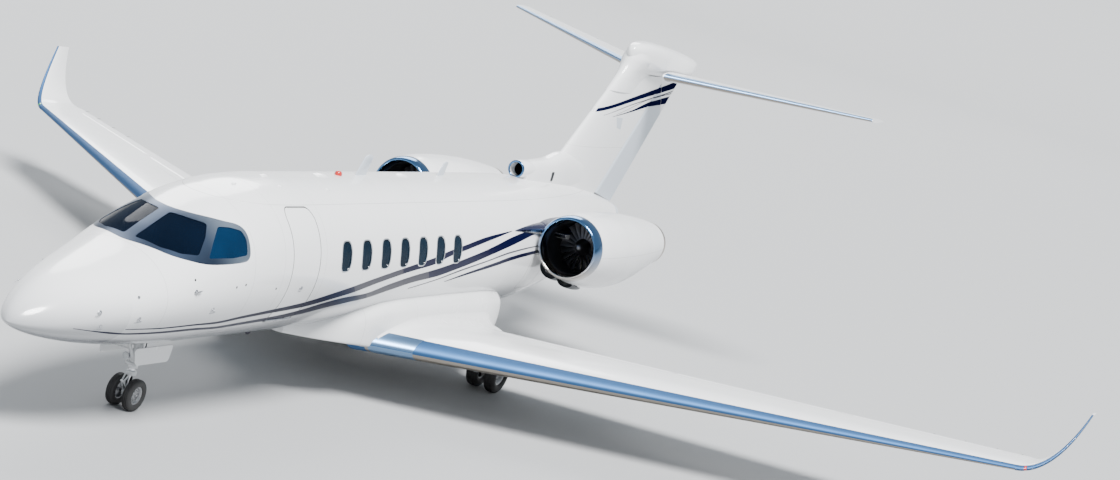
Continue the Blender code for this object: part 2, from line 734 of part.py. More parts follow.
def end_pins(hinge, part, fixed, name, low, high, length=0.045):
    """A pin at each end of a control surface, and its hole in the fixed part."""
    for tag, start, end in (("a", low + 0.02, low - length), ("b", high - 0.02, high + length)):
        far = end + (end - start) * 0.05
        first, last, beyond = hinge.centre(start), hinge.centre(end), hinge.centre(far)
        join(part, pin("guide_%s_pin_%s" % (name, tag), first, last, PIN_RADIUS))
        cut(fixed, pin("cutter_%s_pin_%s" % (name, tag), first, beyond, PIN_RADIUS, GAP))


FLAP_DROP = 0.105
LUG_HALF = 0.006
LUG_EYE = 0.034
PIVOT_HALF = 0.04
# A pod under the wing: (place back from the pivot, height, radius)
POD = [(-0.95, 0.125, 0.015), (-0.72, 0.095, 0.055), (-0.40, 0.040, 0.085), (-0.10, 0.0, 0.080),
       (0.02, 0.0, 0.060), (0.065, 0.0, 0.025)]
POD_SIDES = 8


def flap_pivot(hinge, run):
    """Distance of a flap's pivot below the middle of its nose."""
    return hinge.radius(run) + FLAP_DROP


def build_flap(name, hinge, wing, material):
    """A flap on two lugs that turn on pins in pods under the wing."""
    flap = loft(name, [hinge.section(0.0), hinge.section(hinge.length)], material)
    cut(wing, hinge.well("cutter_well_" + name, 0.0, hinge.length, CLEAR))
    along = (hinge.centre(hinge.length) - hinge.centre(0.0)).normalized()
    for index, run in enumerate((0.18 * hinge.length, 0.82 * hinge.length)):
        drop = flap_pivot(hinge, run)
        rings = []
        for back, up, radius in POD:
            ring = []
            for i in range(POD_SIDES):
                turn = 2 * math.pi * i / POD_SIDES
                centre = across_hinge(hinge, run, back, up - drop)
                side = along * (0.75 * radius * math.cos(turn))
                ring.append(centre + side + Vector((0, 0, radius * math.sin(turn))))
            rings.append(ring)
        tag = "%s_%d" % (name, index)
        join(wing, loft("guide_pod_" + tag, rings))
        gap = LUG_HALF + 0.006
        outline = [across_hinge(hinge, run, b, u - drop) for b, u in
                   ((-0.050, -0.20), (0.25, -0.20), (0.25, 0.15), (-0.050, 0.095))]
        cut(wing, prism("cutter_slot_" + tag, [p - along * gap for p in outline], along * (2 * gap)))
        middle = across_hinge(hinge, run, 0.0, -drop)
        ends = (middle - along * PIVOT_HALF, middle + along * PIVOT_HALF)
        join(wing, pin("guide_pivot_" + tag, *ends, PIN_RADIUS))
        shape = [(LUG_EYE * math.cos(math.radians(a)), LUG_EYE * math.sin(math.radians(a)))
                 for a in (180, 225, 270, 315, 0)]
        shape += [(0.12, 0.15), (-0.020, 0.13)]
        plate = [across_hinge(hinge, run, b, u - drop) - along * LUG_HALF for b, u in shape]
        join(flap, prism("guide_lug_" + tag, plate, along * (2 * LUG_HALF)))
        cut(flap, pin("cutter_pivot_" + tag, *ends, PIN_RADIUS, GAP))
    return flap


def build_spoiler(name, panel, wing, material):
    """A thin panel let into the top of the wing, hinged along its front edge."""
    hinge = Hinge(panel, SPOILER_FRACTION, *SPOILER_SPAN)

    def section(run, front, back, above, below):
        ring = []
        marks = [front + (back - front) * i / 3 for i in range(4)]
        tops = []
        for mark in marks:
            span, chordwise = hinge.flat(run, mark)
            top = panel.offset(span, panel.fraction(span, chordwise), 1)
            tops.append((span, chordwise, top))
        ring += [panel.place(a, b, top + above) for a, b, top in tops]
        ring += [panel.place(a, b, top - below) for a, b, top in reversed(tops)]
        return ring

    low, high = 0.0, hinge.length
    ends = [section(run, 0.004, SPOILER_CHORD, 0.0, SPOILER_DEPTH) for run in (low, high)]
    part = loft(name, ends, material)
    room = [section(run, -0.006, SPOILER_CHORD + SPOILER_GAP, 0.3, SPOILER_DEPTH + SPOILER_GAP)
            for run in (low - SPOILER_GAP, high + SPOILER_GAP)]
    cut(wing, loft("cutter_" + name, room))
    line = spoiler_line(panel)
    along = (line[1] - line[0]).normalized()
    for tag, spot, way in (("a", line[0], -along), ("b", line[1], along)):
        start = spot - way * 0.02
        join(part, pin("guide_%s_pin_%s" % (name, tag), start, spot + way * 0.040, SPOILER_PIN))
        cut(wing, pin("cutter_%s_pin_%s" % (name, tag), start, spot + way * 0.042, SPOILER_PIN, GAP))
    return part


def spoiler_line(panel):
    """The two ends of a spoiler's hinge line, just under the skin."""
    hinge = Hinge(panel, SPOILER_FRACTION, *SPOILER_SPAN)
    ends = []
    for run in (0.0, hinge.length):
        span, chordwise = hinge.flat(run, 0.014)
        top = panel.offset(span, panel.fraction(span, chordwise), 1)
        ends.append(panel.place(span, chordwise, top - 0.013))
    return ends


def build_wing(side, sign):
    panel = wing_panel(sign)
    paint = finish("wing_paint_" + side, WHITE, 0.28)
    wing = slab("wing_" + side, panel, [WING_START, WING_END[0]], NOSE_FRACTION, 1.0, WING_STEPS, paint)
    slab("leading_edge_" + side, panel, [WING_START, WING_END[0]], 0.0, NOSE_FRACTION - GAP / 2, NOSE_STEPS,
         finish("leading_edge_metal_" + side, POLISHED, 0.14, 1.0))
    for part, low, high in FLAPS:
        name = "flap_%s_%s" % (part, side)
        build_flap(name, Hinge(panel, FLAP_FRACTION, low, high), wing, finish(name + "_paint", WHITE, 0.30))
    name = "aileron_" + side
    hinge = Hinge(panel, AILERON_FRACTION, *AILERON_SPAN)
    paint = finish(name + "_paint", WHITE, 0.30)
    aileron = loft(name, [hinge.section(0.0), hinge.section(hinge.length)], paint)
    cut(wing, hinge.well("cutter_well_" + name, 0.0, hinge.length, CLEAR))
    end_pins(hinge, aileron, wing, name, 0.0, hinge.length)
    name = "spoiler_" + side
    build_spoiler(name, panel, wing, finish(name + "_paint", WHITE, 0.30))
    build_winglet(side, sign, panel)
    return wing


WINGLET_CORNER = (10.28, 1.47)
WINGLET_TIP = (10.505, 2.51)
WINGLET_TIP_STATION = 15.33
WINGLET_TIP_CHORD = 0.386
WINGLET_DEPTH = 0.10


def build_winglet(side, sign, panel):
    """A blended winglet: wing sections carried up a bend."""
    start = np.array([WING_END[0] + GAP, WING_END[3] + 0.5 * WING_END[4]])
    corner = np.array(WINGLET_CORNER)
    tip = np.array(WINGLET_TIP)
    rings = []
    for t in (0.0, 0.2, 0.4, 0.6, 0.8, 1.0):
        spot = (1 - t) ** 2 * start + 2 * t * (1 - t) * corner + t * t * tip
        tangent = (1 - t) * (corner - start) + t * (tip - corner)
        tangent = tangent / np.linalg.norm(tangent)
        normal = np.array([-tangent[1], tangent[0]]) if t > 0 else np.array([0.0, 1.0])
        leading = WING_END[1] + (WINGLET_TIP_STATION - WING_END[1]) * t ** 1.25
        chord = (WING_END[2] - WING_END[1]) * (1 - t) + WINGLET_TIP_CHORD * t
        ring = []
        steps = 6
        for surface in (1, -1):
            marks = [(1 - math.cos(math.pi * i / steps)) / 2 for i in range(steps + 1)]
            if surface < 0:
                marks = marks[::-1][:-1]
            for f in marks:
                bow = 4 * WING_CAMBER * f * (1 - f)
                lift = chord * (bow + surface * WINGLET_DEPTH * half_thickness(f))
                place = spot + normal * lift
                ring.append(at(sign * place[0], leading + f * chord, place[1]))
        rings.append(ring)
    return loft("winglet_" + side, rings, finish("winglet_paint_" + side, WHITE, 0.25))


# Tail
FIN_ROOT = (2.55, 14.67, 19.04, 0.0, 0.0)
FIN_TOP = (5.45, 17.86, 21.20, 0.0, 0.0)
FIN_CAP = 5.30
RUDDER_FRACTION = 0.69
RUDDER_SPAN = (2.87, 5.10)
RUDDER_FOOT = ((17.0, 3.125), (20.0, 2.576))
STAB_ROOT = (0.35, 19.06, 21.02, 5.363, 0.0)
STAB_TIP = (3.973, 21.295, 22.244, 5.661, 0.0)
STAB_START = 0.335
TRIM_AXIS = (20.15, 5.372)
TRIM_TUBE = 0.040
ELEVATOR_SPAN = (0.80, 3.72)
ELEVATOR_FRACTION = 0.70
# Dorsal spine in front of the fin: (station, half width, top height)
SPINE = [(14.28, 0.155, 3.50), (14.60, 0.175, 3.53), (15.20, 0.19, 3.57), (15.90, 0.20, 3.70),
         (16.80, 0.18, 3.72)]
SPINE_BOTTOM = 2.9
INLET = (3.385, 0.095, 0.75)
RUDDER_PIN = 0.016
FIN_DEPTH = 0.085
STAB_DEPTH = (0.10, 0.09)
# Fairing at the top of the fin: (station, half width, bottom, top)
BULLET = [(17.86, 0.03, 5.62, 5.74), (17.95, 0.11, 5.52, 5.82), (18.20, 0.20, 5.36, 5.89),
          (18.60, 0.26, FIN_CAP, 5.92), (19.30, 0.31, FIN_CAP, 5.90), (20.30, 0.31, FIN_CAP, 5.83),
          (20.90, 0.27, 5.34, 5.77), (21.35, 0.17, 5.45, 5.71), (21.62, 0.05, 5.57, 5.66)]


def fin_panel():
    return Panel(FIN_ROOT, FIN_TOP, (FIN_DEPTH, FIN_DEPTH), 0.0, lambda z, s, x: at(x, s, z))


def tail_panel(sign):
    return Panel(STAB_ROOT, STAB_TIP, STAB_DEPTH, 0.0, lambda x, s, z: at(sign * x, s, z))


def oval(station, width, low, high, sides=16, power=0.8):
    """A rounded upright section."""
    ring = []
    for i in range(sides):
        turn = 2 * math.pi * i / sides
        s, c = math.sin(turn), math.cos(turn)
        x = width * math.copysign(abs(s) ** power, s)
        z = (low + high) / 2 + (high - low) / 2 * math.copysign(abs(c) ** power, c)
        ring.append(at(x, station, z))
    return ring


def build_fin(tail):
    """Fin with its dorsal spine and air inlet, and the rudder on pins at its foot and head."""
    panel = fin_panel()
    paint = finish("fin_paint", WHITE, 0.22)
    fin = slab("fin", panel, [FIN_ROOT[0], FIN_CAP - GAP], 0.0, 1.0, WING_STEPS, paint)
    spine = [oval(s, w, SPINE_BOTTOM, top) for s, w, top in SPINE]
    join(fin, loft("guide_spine", spine))
    hinge = Hinge(panel, RUDDER_FRACTION, *RUDDER_SPAN)
    cut(fin, hinge.well("cutter_rudder_well", -0.60, hinge.length, 0.012), BODY_OUTSIDE)
    height, radius, depth = INLET
    inlet = at(0, SPINE[0][0] - 0.05, height)
    cut(fin, rod("cutter_inlet", inlet, inlet + Vector((0, depth, 0)), radius, sides=16))
    rudder = loft("rudder", [hinge.section(-1.1), hinge.section(hinge.length)],
                  finish("rudder_paint", WHITE, 0.25))
    below = tuple((s, 1.0) for s, z in reversed(RUDDER_FOOT))
    foot_line = [at(-0.5, s, z) for s, z in RUDDER_FOOT + below]
    cut(rudder, prism("cutter_rudder_foot_line", foot_line, Vector((1.0, 0, 0))))
    head = hinge.centre(hinge.length)
    foot = hinge.centre(0.0)
    along = (head - foot).normalized()
    join(rudder, pin("guide_rudder_head", head - along * 0.05, head + along * 0.07, RUDDER_PIN))
    cut(fin, pin("cutter_rudder_head", head - along * 0.05, head + along * 0.075, RUDDER_PIN, GAP))
    join(rudder, pin("guide_rudder_foot", foot + along * 0.17, foot - along * 0.06, RUDDER_PIN))
    cut(tail, pin("cutter_rudder_foot", foot + along * 0.12, foot - along * 0.08, RUDDER_PIN, GAP))
    return fin


def build_stabilizer():
    """The bullet fairing on the fin, and the trimming stabiliser on a tube through it."""
    bullet = loft("stabilizer_fairing", [oval(s, w, low, high, power=0.62) for s, w, low, high in BULLET],
                  finish("bullet_paint", WHITE, 0.22))
    station, height = TRIM_AXIS
    ends = (at(-0.6, station, height), at(0.6, station, height))
    cut(bullet, pin("cutter_trim_tube", *ends, TRIM_TUBE, GAP))
    stab = None
    for side, sign in (("starboard", -1.0), ("port", 1.0)):
        panel = tail_panel(sign)
        name = "stabilizer" if side == "port" else "guide_stabilizer_starboard"
        paint = finish("stabilizer_paint", WHITE, 0.25) if side == "port" else None
        half = slab(name, panel, [STAB_START, STAB_TIP[0]], 0.0, 1.0, WING_STEPS, paint)
        hinge = Hinge(panel, ELEVATOR_FRACTION, *ELEVATOR_SPAN)
        tag = "elevator_" + side
        elevator = loft(tag, [hinge.section(0.0), hinge.section(hinge.length)],
                        finish(tag + "_paint", WHITE, 0.28))
        cut(half, hinge.well("cutter_well_" + tag, 0.0, hinge.length, CLEAR))
        end_pins(hinge, elevator, half, tag, 0.0, hinge.length)
        if side == "starboard":
            other = half
        else:
            stab = half
    tube = pin("guide_trim_tube", at(-0.42, station, height), at(0.42, station, height), TRIM_TUBE)
    join(stab, tube, other)
    return stab


# Engines
ENGINE_X = 1.651
ENGINE_Z = 2.482
LIP_STATION = 13.19
LIP_BACK = 13.43
FAN_STATION = 13.98
FAN_RADIUS = 0.430
BLADES = 16
BLADE_HALF = 0.005
# A blade's root and tip: (radius, half chord, turn from the axis in degrees)
BLADE_ENDS = ((0.10, 0.045, 32), (FAN_RADIUS, 0.062, 62))
LIP = [(LIP_BACK, 0.563), (13.27, 0.539), (LIP_STATION, 0.500), (13.225, 0.475), (LIP_BACK, 0.452)]
NACELLE_OUTER = [(LIP_BACK + GAP, 0.563), (13.80, 0.592), (14.40, 0.602), (15.30, 0.592), (16.20, 0.528),
                 (17.10, 0.392)]
NACELLE_INNER = [(17.10, 0.372), (16.30, 0.425), (15.30, 0.450), (LIP_BACK + GAP, 0.452)]
NACELLE_SIDES = 24
CORE_SIDES = 12
CORE = [(14.20, 0.22), (14.45, 0.30), (15.90, 0.30), (16.70, 0.24), (17.20, 0.15), (17.55, 0.03)]
HUB = [(13.70, 0.012), (13.76, 0.075), (13.90, 0.135), (14.08, 0.16)]
SHAFT_RADIUS = 0.035
SHAFT_STATIONS = (14.0, 14.38)
STRUT_STATION = 14.62
STRUT_RADIUS = 0.018
STRUT_REACH = 0.4507 * math.cos(math.pi / NACELLE_SIDES) - GAP
PYLON_ROOT = (0.55, 12.75, 16.9, 2.60, 0.0)
PYLON_END = (1.45, 13.93, 16.9, 2.60, 0.0)
PYLON_DEPTH = (0.075, 0.085)


def engine_bulge(station, turn):
    """The lower lobe of the cowl, over the gearbox."""
    under = max(0.0, -math.cos(turn)) ** 2
    return 0.13 * under * max(0.0, math.sin(math.pi * min(max((station - 13.5) / 3.2, 0.0), 1.0))) ** 1.2


def engine_rings(rows, x, z, offset=None, sides=NACELLE_SIDES):
    """Rings about an engine's axis, from (station, radius) rows."""
    rings = []
    for station, radius in rows:
        ring = []
        for i in range(sides):
            turn = 2 * math.pi * i / sides
            reach = radius + (offset(station, turn) if offset else 0.0)
            ring.append(at(x + reach * math.sin(turn), station, z + reach * math.cos(turn)))
        rings.append(ring)
    return rings


def build_engine(side, sign):
    x = sign * ENGINE_X
    z = ENGINE_Z
    polish = finish("lip_metal_" + side, POLISHED, 0.10, 1.0)
    ring_solid("inlet_lip_" + side, engine_rings(LIP, x, z), polish)
    rings = engine_rings(NACELLE_OUTER, x, z, engine_bulge) + engine_rings(NACELLE_INNER, x, z)
    ring_solid("nacelle_" + side, rings, finish("nacelle_paint_" + side, WHITE, 0.22))

    core = loft("engine_core_" + side, engine_rings(CORE, x, z, sides=CORE_SIDES),
                finish("engine_metal_" + side, STEEL, 0.4, 1.0))
    for index in range(4):
        turn = math.pi / NACELLE_SIDES * (5 + 12 * index)
        out = Vector((math.sin(turn), 0, math.cos(turn)))
        foot = at(x, STRUT_STATION, z)
        ends = (foot + out * 0.15, foot + out * STRUT_REACH)
        join(core, rod("guide_strut_%s_%d" % (side, index), *ends, STRUT_RADIUS, sides=6))
    start, end = SHAFT_STATIONS
    cut(core, pin("cutter_shaft_" + side, at(x, start, z), at(x, end + 0.02, z), SHAFT_RADIUS, GAP))

    fan = loft("fan_" + side, engine_rings(HUB, x, z, sides=CORE_SIDES),
               finish("fan_metal_" + side, DARK_METAL, 0.35, 1.0))
    blades = bpy.data.collections.new("blades_" + side)
    GUIDES.children.link(blades)
    for index in range(BLADES):
        turn = 2 * math.pi * index / BLADES
        out = Vector((math.sin(turn), 0, math.cos(turn)))
        across = Vector((math.cos(turn), 0, -math.sin(turn)))
        rings = []
        for radius, half, twist in BLADE_ENDS:
            sine, cosine = math.sin(math.radians(twist)), math.cos(math.radians(twist))
            chord = (across * sine + Vector((0, cosine, 0))) * half
            thick = (across * cosine - Vector((0, sine, 0))) * BLADE_HALF
            centre = at(x, FAN_STATION, z) + out * radius
            rings.append([centre - chord, centre + thick, centre + chord, centre - thick])
        blade = loft("guide_blade_%s_%d" % (side, index), rings)
        GUIDES.objects.unlink(blade)
        blades.objects.link(blade)
    modifier = fan.modifiers.new("blades", "BOOLEAN")
    modifier.operation = "UNION"
    modifier.solver = "EXACT"
    modifier.operand_type = "COLLECTION"
    modifier.collection = blades
    join(fan, pin("guide_shaft_" + side, at(x, start, z), at(x, end, z), SHAFT_RADIUS))

    envelope_rows = [(s, r + GAP) for s, r in NACELLE_OUTER]
    cover = loft("guide_nacelle_" + side,
                 engine_rings([(LIP_BACK - 0.2, 0.52)] + envelope_rows, x, z, engine_bulge))
    panel = Panel(PYLON_ROOT, PYLON_END, PYLON_DEPTH, 0.0, lambda a, s, h: at(sign * a, s, h))
    paint = finish("pylon_paint_" + side, WHITE, 0.25)
    pylon = slab("pylon_" + side, panel, [PYLON_ROOT[0], PYLON_END[0]], 0.0, 1.0, 7, paint)
    cut(pylon, BODY_OUTSIDE, cover)


# Landing gear. A wheel is (radius, tyre width, distance from the leg's middle to the tyre's)
NOSE_GEAR = 3.15
NOSE_WHEEL = (0.220, 0.125, 0.130)
NOSE_AXLE = 0.022
NOSE_LEG = (0.56, 0.062)
NOSE_PISTON = (0.79, 0.042)
MAIN_GEAR_X = 1.42
MAIN_AXLE = 11.92
MAIN_WHEEL = (0.330, 0.200, 0.165)
MAIN_AXLE_RADIUS = 0.030
MAIN_LEG_RADIUS = 0.060
MAIN_ARM = (0.56, 0.040)
SHOCK_RADIUS = 0.034
BRACE_RADIUS = 0.026
DOOR_SHEET = 0.014
TYRE_SIDES = 20
TYRE_ROUND = 1 / math.cos(math.pi / TYRE_SIDES)


def wheel_profile(radius, width, hub):
    """A tyre's section as (distance across, radius), from its inner bead round to the other."""
    half = width / 2
    side = hub + 0.45 * (radius - hub)
    shoulder = radius - 0.16 * (radius - hub)
    port = [(half * 0.45, radius), (half * 0.86, shoulder), (half, side), (half * 0.62, hub)]
    return [(-a, r) for a, r in reversed(port)] + port


def across_rings(centre, rows, sides):
    """Rings about an axis that runs across the aircraft, with a flat at the lowest point."""
    rings = []
    for offset, radius in rows:
        ring = []
        for i in range(sides):
            turn = 2 * math.pi * (i + 0.5) / sides
            ring.append(centre + Vector((offset, radius * math.sin(turn), -radius * math.cos(turn))))
        rings.append(ring)
    return rings


def wheel_set(name, x, station, size, tags, axle_radius):
    """Two hubs on one turning axle, and a tyre on each."""
    radius, width, spread = size
    hub = radius * 0.56
    half = width / 2
    centre = at(x, station, radius)
    outline = [(-spread - half * 0.55, axle_radius), (-spread - half * 0.25, hub * 0.78),
               (-spread - half * 0.64, hub - GAP), (-spread + half * 0.64, hub - GAP),
               (-spread + half * 0.15, hub * 0.78), (-spread + half * 0.45, axle_radius)]
    rows = outline + [(-a, r) for a, r in reversed(outline)]
    loft(name, across_rings(centre, rows, TYRE_SIDES), finish(name + "_metal", STEEL, 0.35, 1.0))
    for tag, sign in tags:
        tyre = [(sign * spread + a, r) for a, r in wheel_profile(radius * TYRE_ROUND, width, hub)]
        ring_solid(name.replace("wheels", "tyre") + "_" + tag, across_rings(centre, tyre, TYRE_SIDES),
                   finish("%s_%s_rubber" % (name, tag), RUBBER, 0.75))


def build_nose_gear(floor_z):
    radius, width, spread = NOSE_WHEEL
    metal = finish("nose_leg_paint", LEG_PAINT, 0.35)
    foot, thick = NOSE_LEG
    leg = rod("nose_gear_leg", at(0, NOSE_GEAR, foot), at(0, NOSE_GEAR, floor_z), thick, metal, 12)
    join(leg, rod("guide_nose_trunnion", at(-0.20, NOSE_GEAR, 1.10), at(0.20, NOSE_GEAR, 1.10), 0.035))
    brace = (at(0, NOSE_GEAR, 0.66), at(0, NOSE_GEAR - 0.52, floor_z - 0.02))
    join(leg, rod("guide_nose_brace", *brace, BRACE_RADIUS))
    for side, sign in SIDES:
        door = [at(sign * 0.262, 2.62, 0.95), at(sign * 0.262, 3.56, 0.95), at(sign * 0.275, 3.50, 0.72),
                at(sign * 0.275, 2.70, 0.72)]
        join(leg, prism("guide_nose_door_" + side, door, Vector((sign * DOOR_SHEET, 0, 0))))
        link = (at(0, NOSE_GEAR, 0.86), at(sign * 0.272, NOSE_GEAR, 0.86))
        join(leg, rod("guide_nose_link_" + side, *link, 0.012))
    top, piston = NOSE_PISTON
    cut(leg, pin("cutter_nose_piston", at(0, NOSE_GEAR, 0.50), at(0, NOSE_GEAR, top + 0.01), piston, GAP))

    fork = rod("nose_gear_fork", at(0, NOSE_GEAR, radius), at(0, NOSE_GEAR, top), piston,
               finish("nose_fork_metal", STEEL, 0.25, 1.0))
    join(fork, rod("guide_fork_collar", at(0, NOSE_GEAR, 0.46), at(0, NOSE_GEAR, 0.52), 0.075))
    join(fork, rod("guide_fork_sleeve", at(-0.045, NOSE_GEAR, radius), at(0.045, NOSE_GEAR, radius), 0.050))
    corners = ((-0.03, 0.30), (-0.16, 0.38), (-0.05, 0.50), (-0.02, 0.36))
    link = [at(-0.02, NOSE_GEAR + back, height) for back, height in corners]
    join(fork, prism("guide_fork_link", link, Vector((0.04, 0, 0))))
    cut(fork, rod("cutter_nose_axle", at(-0.1, NOSE_GEAR, radius), at(0.1, NOSE_GEAR, radius),
                  (NOSE_AXLE + GAP) * TYRE_ROUND, sides=TYRE_SIDES))
    wheel_set("nose_wheels", 0.0, NOSE_GEAR, NOSE_WHEEL, SIDES, NOSE_AXLE)


def build_main_gear(side, sign):
    """A leg with a trailing arm and a shock strut; the twin wheels turn on its axle."""
    radius, width, spread = MAIN_WHEEL
    x = sign * MAIN_GEAR_X
    panel = wing_panel(sign)

    def underside(station):
        return panel.offset(MAIN_GEAR_X, panel.fraction(MAIN_GEAR_X, station), -1)
    knee = MAIN_AXLE - MAIN_ARM[0]
    top = underside(knee) + 0.05
    leg = rod("main_gear_leg_" + side, at(x, knee, 0.36), at(x, knee - 0.02, top), MAIN_LEG_RADIUS,
              finish("leg_paint_" + side, LEG_PAINT, 0.35), 12)
    join(leg, rod("guide_arm_" + side, at(x, knee, 0.40), at(x, MAIN_AXLE, radius), MAIN_ARM[1]))
    sleeve = (at(x - 0.048, MAIN_AXLE, radius), at(x + 0.048, MAIN_AXLE, radius))
    join(leg, rod("guide_axle_sleeve_" + side, *sleeve, 0.058, sides=12))
    shock = (at(x, MAIN_AXLE - 0.22, 0.37), at(x, knee + 0.02, top - 0.16))
    join(leg, rod("guide_shock_" + side, *shock, SHOCK_RADIUS))
    brace = (at(x, knee, 0.60), at(x - sign * 0.22, knee, top + 0.02))
    join(leg, rod("guide_side_brace_" + side, *brace, BRACE_RADIUS))
    door = [at(x + sign * 0.13, knee - 0.34, 0.76), at(x + sign * 0.13, knee + 0.16, 0.80),
            at(x + sign * 0.15, knee + 0.14, 0.44), at(x + sign * 0.15, knee - 0.22, 0.44)]
    join(leg, prism("guide_leg_door_" + side, door, Vector((sign * DOOR_SHEET, 0, 0))))
    join(leg, rod("guide_leg_link_" + side, at(x, knee, 0.58), at(x + sign * 0.15, knee, 0.58), 0.014))
    roof = slab("guide_wing_underside_" + side, panel, [1.10, 1.90], 0.30, 1.0, 8)
    roof.location.z = -GAP
    cut(leg, roof)
    cut(leg, rod("cutter_main_axle_" + side, at(x - 0.1, MAIN_AXLE, radius), at(x + 0.1, MAIN_AXLE, radius),
                 (MAIN_AXLE_RADIUS + GAP) * TYRE_ROUND, sides=TYRE_SIDES))
    tags = (("outboard", sign), ("inboard", -sign))
    wheel_set("main_wheels_" + side, x, MAIN_AXLE, MAIN_WHEEL, tags, MAIN_AXLE_RADIUS)


def put_origin(name, point):
    """Move a piece's origin onto its joint's axis; the solid stays where it is."""
    obj = bpy.data.objects[name]
    obj.data.transform(Matrix.Translation(-point))
    obj.location = point


def put_origins():
    """Give every piece that turns an origin on its own axis."""
    put_origin("airstair_door", at(DOOR_AXIS[0], sum(DOOR_STATIONS) / 2, DOOR_AXIS[1]))
    put_origin("rudder", Hinge(fin_panel(), RUDDER_FRACTION, *RUDDER_SPAN).centre(0.0))
    put_origin("stabilizer", at(0.0, *TRIM_AXIS))
    put_origin("nose_gear_fork", at(0.0, NOSE_GEAR, NOSE_WHEEL[0]))
    for name in ("nose_wheels", "nose_tyre_port", "nose_tyre_starboard"):
        put_origin(name, at(0.0, NOSE_GEAR, NOSE_WHEEL[0]))
    for side, sign in SIDES:
        wing = wing_panel(sign)
        for part, low, high in FLAPS:
            hinge = Hinge(wing, FLAP_FRACTION, low, high)
            put_origin("flap_%s_%s" % (part, side), hinge.centre(0.0, flap_pivot(hinge, 0.0)))
        put_origin("aileron_" + side, Hinge(wing, AILERON_FRACTION, *AILERON_SPAN).centre(0.0))
        put_origin("spoiler_" + side, spoiler_line(wing)[0])
        hinge = Hinge(tail_panel(sign), ELEVATOR_FRACTION, *ELEVATOR_SPAN)
        put_origin("elevator_" + side, hinge.centre(0.0))
        put_origin("fan_" + side, at(sign * ENGINE_X, FAN_STATION, ENGINE_Z))
        wheels = at(sign * MAIN_GEAR_X, MAIN_AXLE, MAIN_WHEEL[0])
        put_origin("main_wheels_" + side, wheels)
        for tag in ("outboard", "inboard"):
            put_origin("main_tyre_%s_%s" % (side, tag), wheels)


def merge_flats():
    """Take out the edges that Booleans leave across flat areas."""
    for obj in MODEL.objects:
        modifier = obj.modifiers.new("flats", "DECIMATE")
        modifier.decimate_type = "DISSOLVE"
        modifier.angle_limit = math.radians(FLAT_ANGLE)


build_nose()
build_forward()
build_door()
build_cabin()
build_interior()
aft_fuselage = build_tail()
build_belly()
build_fin(aft_fuselage)
build_stabilizer()
for side_name, side_sign in SIDES:
    build_wing(side_name, side_sign)
    build_engine(side_name, side_sign)
    build_main_gear(side_name, side_sign)
build_nose_gear(FLOOR_HEIGHT - FLOOR_DEPTH - GAP)
merge_flats()
put_origins()
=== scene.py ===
# %% [markdown]
# # A twin-engined business jet
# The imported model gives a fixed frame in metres: solids, bodies and joints. This lesson dresses it.
# Each smooth surface is worked out again from the same curves with many more points, so the paint
# catches the light as on the real aircraft, and every new piece rides on the body it belongs to.

# %% The frame
import math

import bmesh
import bpy
import numpy as np
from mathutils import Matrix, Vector


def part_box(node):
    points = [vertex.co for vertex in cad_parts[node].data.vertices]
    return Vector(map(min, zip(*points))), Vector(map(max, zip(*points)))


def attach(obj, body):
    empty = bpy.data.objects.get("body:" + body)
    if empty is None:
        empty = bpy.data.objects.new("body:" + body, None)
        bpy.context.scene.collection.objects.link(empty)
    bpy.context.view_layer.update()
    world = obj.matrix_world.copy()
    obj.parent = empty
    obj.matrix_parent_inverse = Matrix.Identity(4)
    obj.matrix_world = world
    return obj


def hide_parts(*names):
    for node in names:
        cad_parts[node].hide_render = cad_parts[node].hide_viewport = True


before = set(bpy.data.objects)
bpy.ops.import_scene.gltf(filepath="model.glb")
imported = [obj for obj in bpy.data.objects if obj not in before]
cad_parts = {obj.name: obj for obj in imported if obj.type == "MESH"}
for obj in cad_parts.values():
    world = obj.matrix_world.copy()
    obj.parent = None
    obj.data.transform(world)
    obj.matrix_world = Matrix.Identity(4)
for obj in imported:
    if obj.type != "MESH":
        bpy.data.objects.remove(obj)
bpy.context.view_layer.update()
MIDDLE = 0.004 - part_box("nose_radome")[0].y
SIDES = (("port", 1.0), ("starboard", -1.0))
print("middle station:", round(MIDDLE, 3))

# %% [markdown]
# ## Camera
# A long lens stands ahead of the port side and a little above it, rolled slightly, as the photographer
# held it. The turn and the place were found by lining up points of the aircraft with the picture.

# %% Camera
CAMERA_PLACE = (15.233, -34.474, 8.113)
CAMERA_TURN = (81.583, -16.5627, 23.0209)
LENS = 75.0876


def make_camera():
    """A camera whose axes come from turns about X, then Y, then Z."""
    data = bpy.data.cameras.new("photo_camera")
    data.lens = LENS
    data.sensor_width = 36.0
    data.clip_end = 400.0
    camera = bpy.data.objects.new("photo_camera", data)
    bpy.context.scene.collection.objects.link(camera)
    camera.location = CAMERA_PLACE
    camera.rotation_euler = [math.radians(angle) for angle in CAMERA_TURN]
    bpy.context.scene.camera = camera
    return camera


print("camera at", tuple(round(value, 2) for value in make_camera().location))

# %% [markdown]
# ## Shader maths as sums
# A material is a small program. Wrapping a socket lets the program be written as Python sums: each
# operator adds one Math node. Colours go through a Mix node instead, because Math turns them grey.


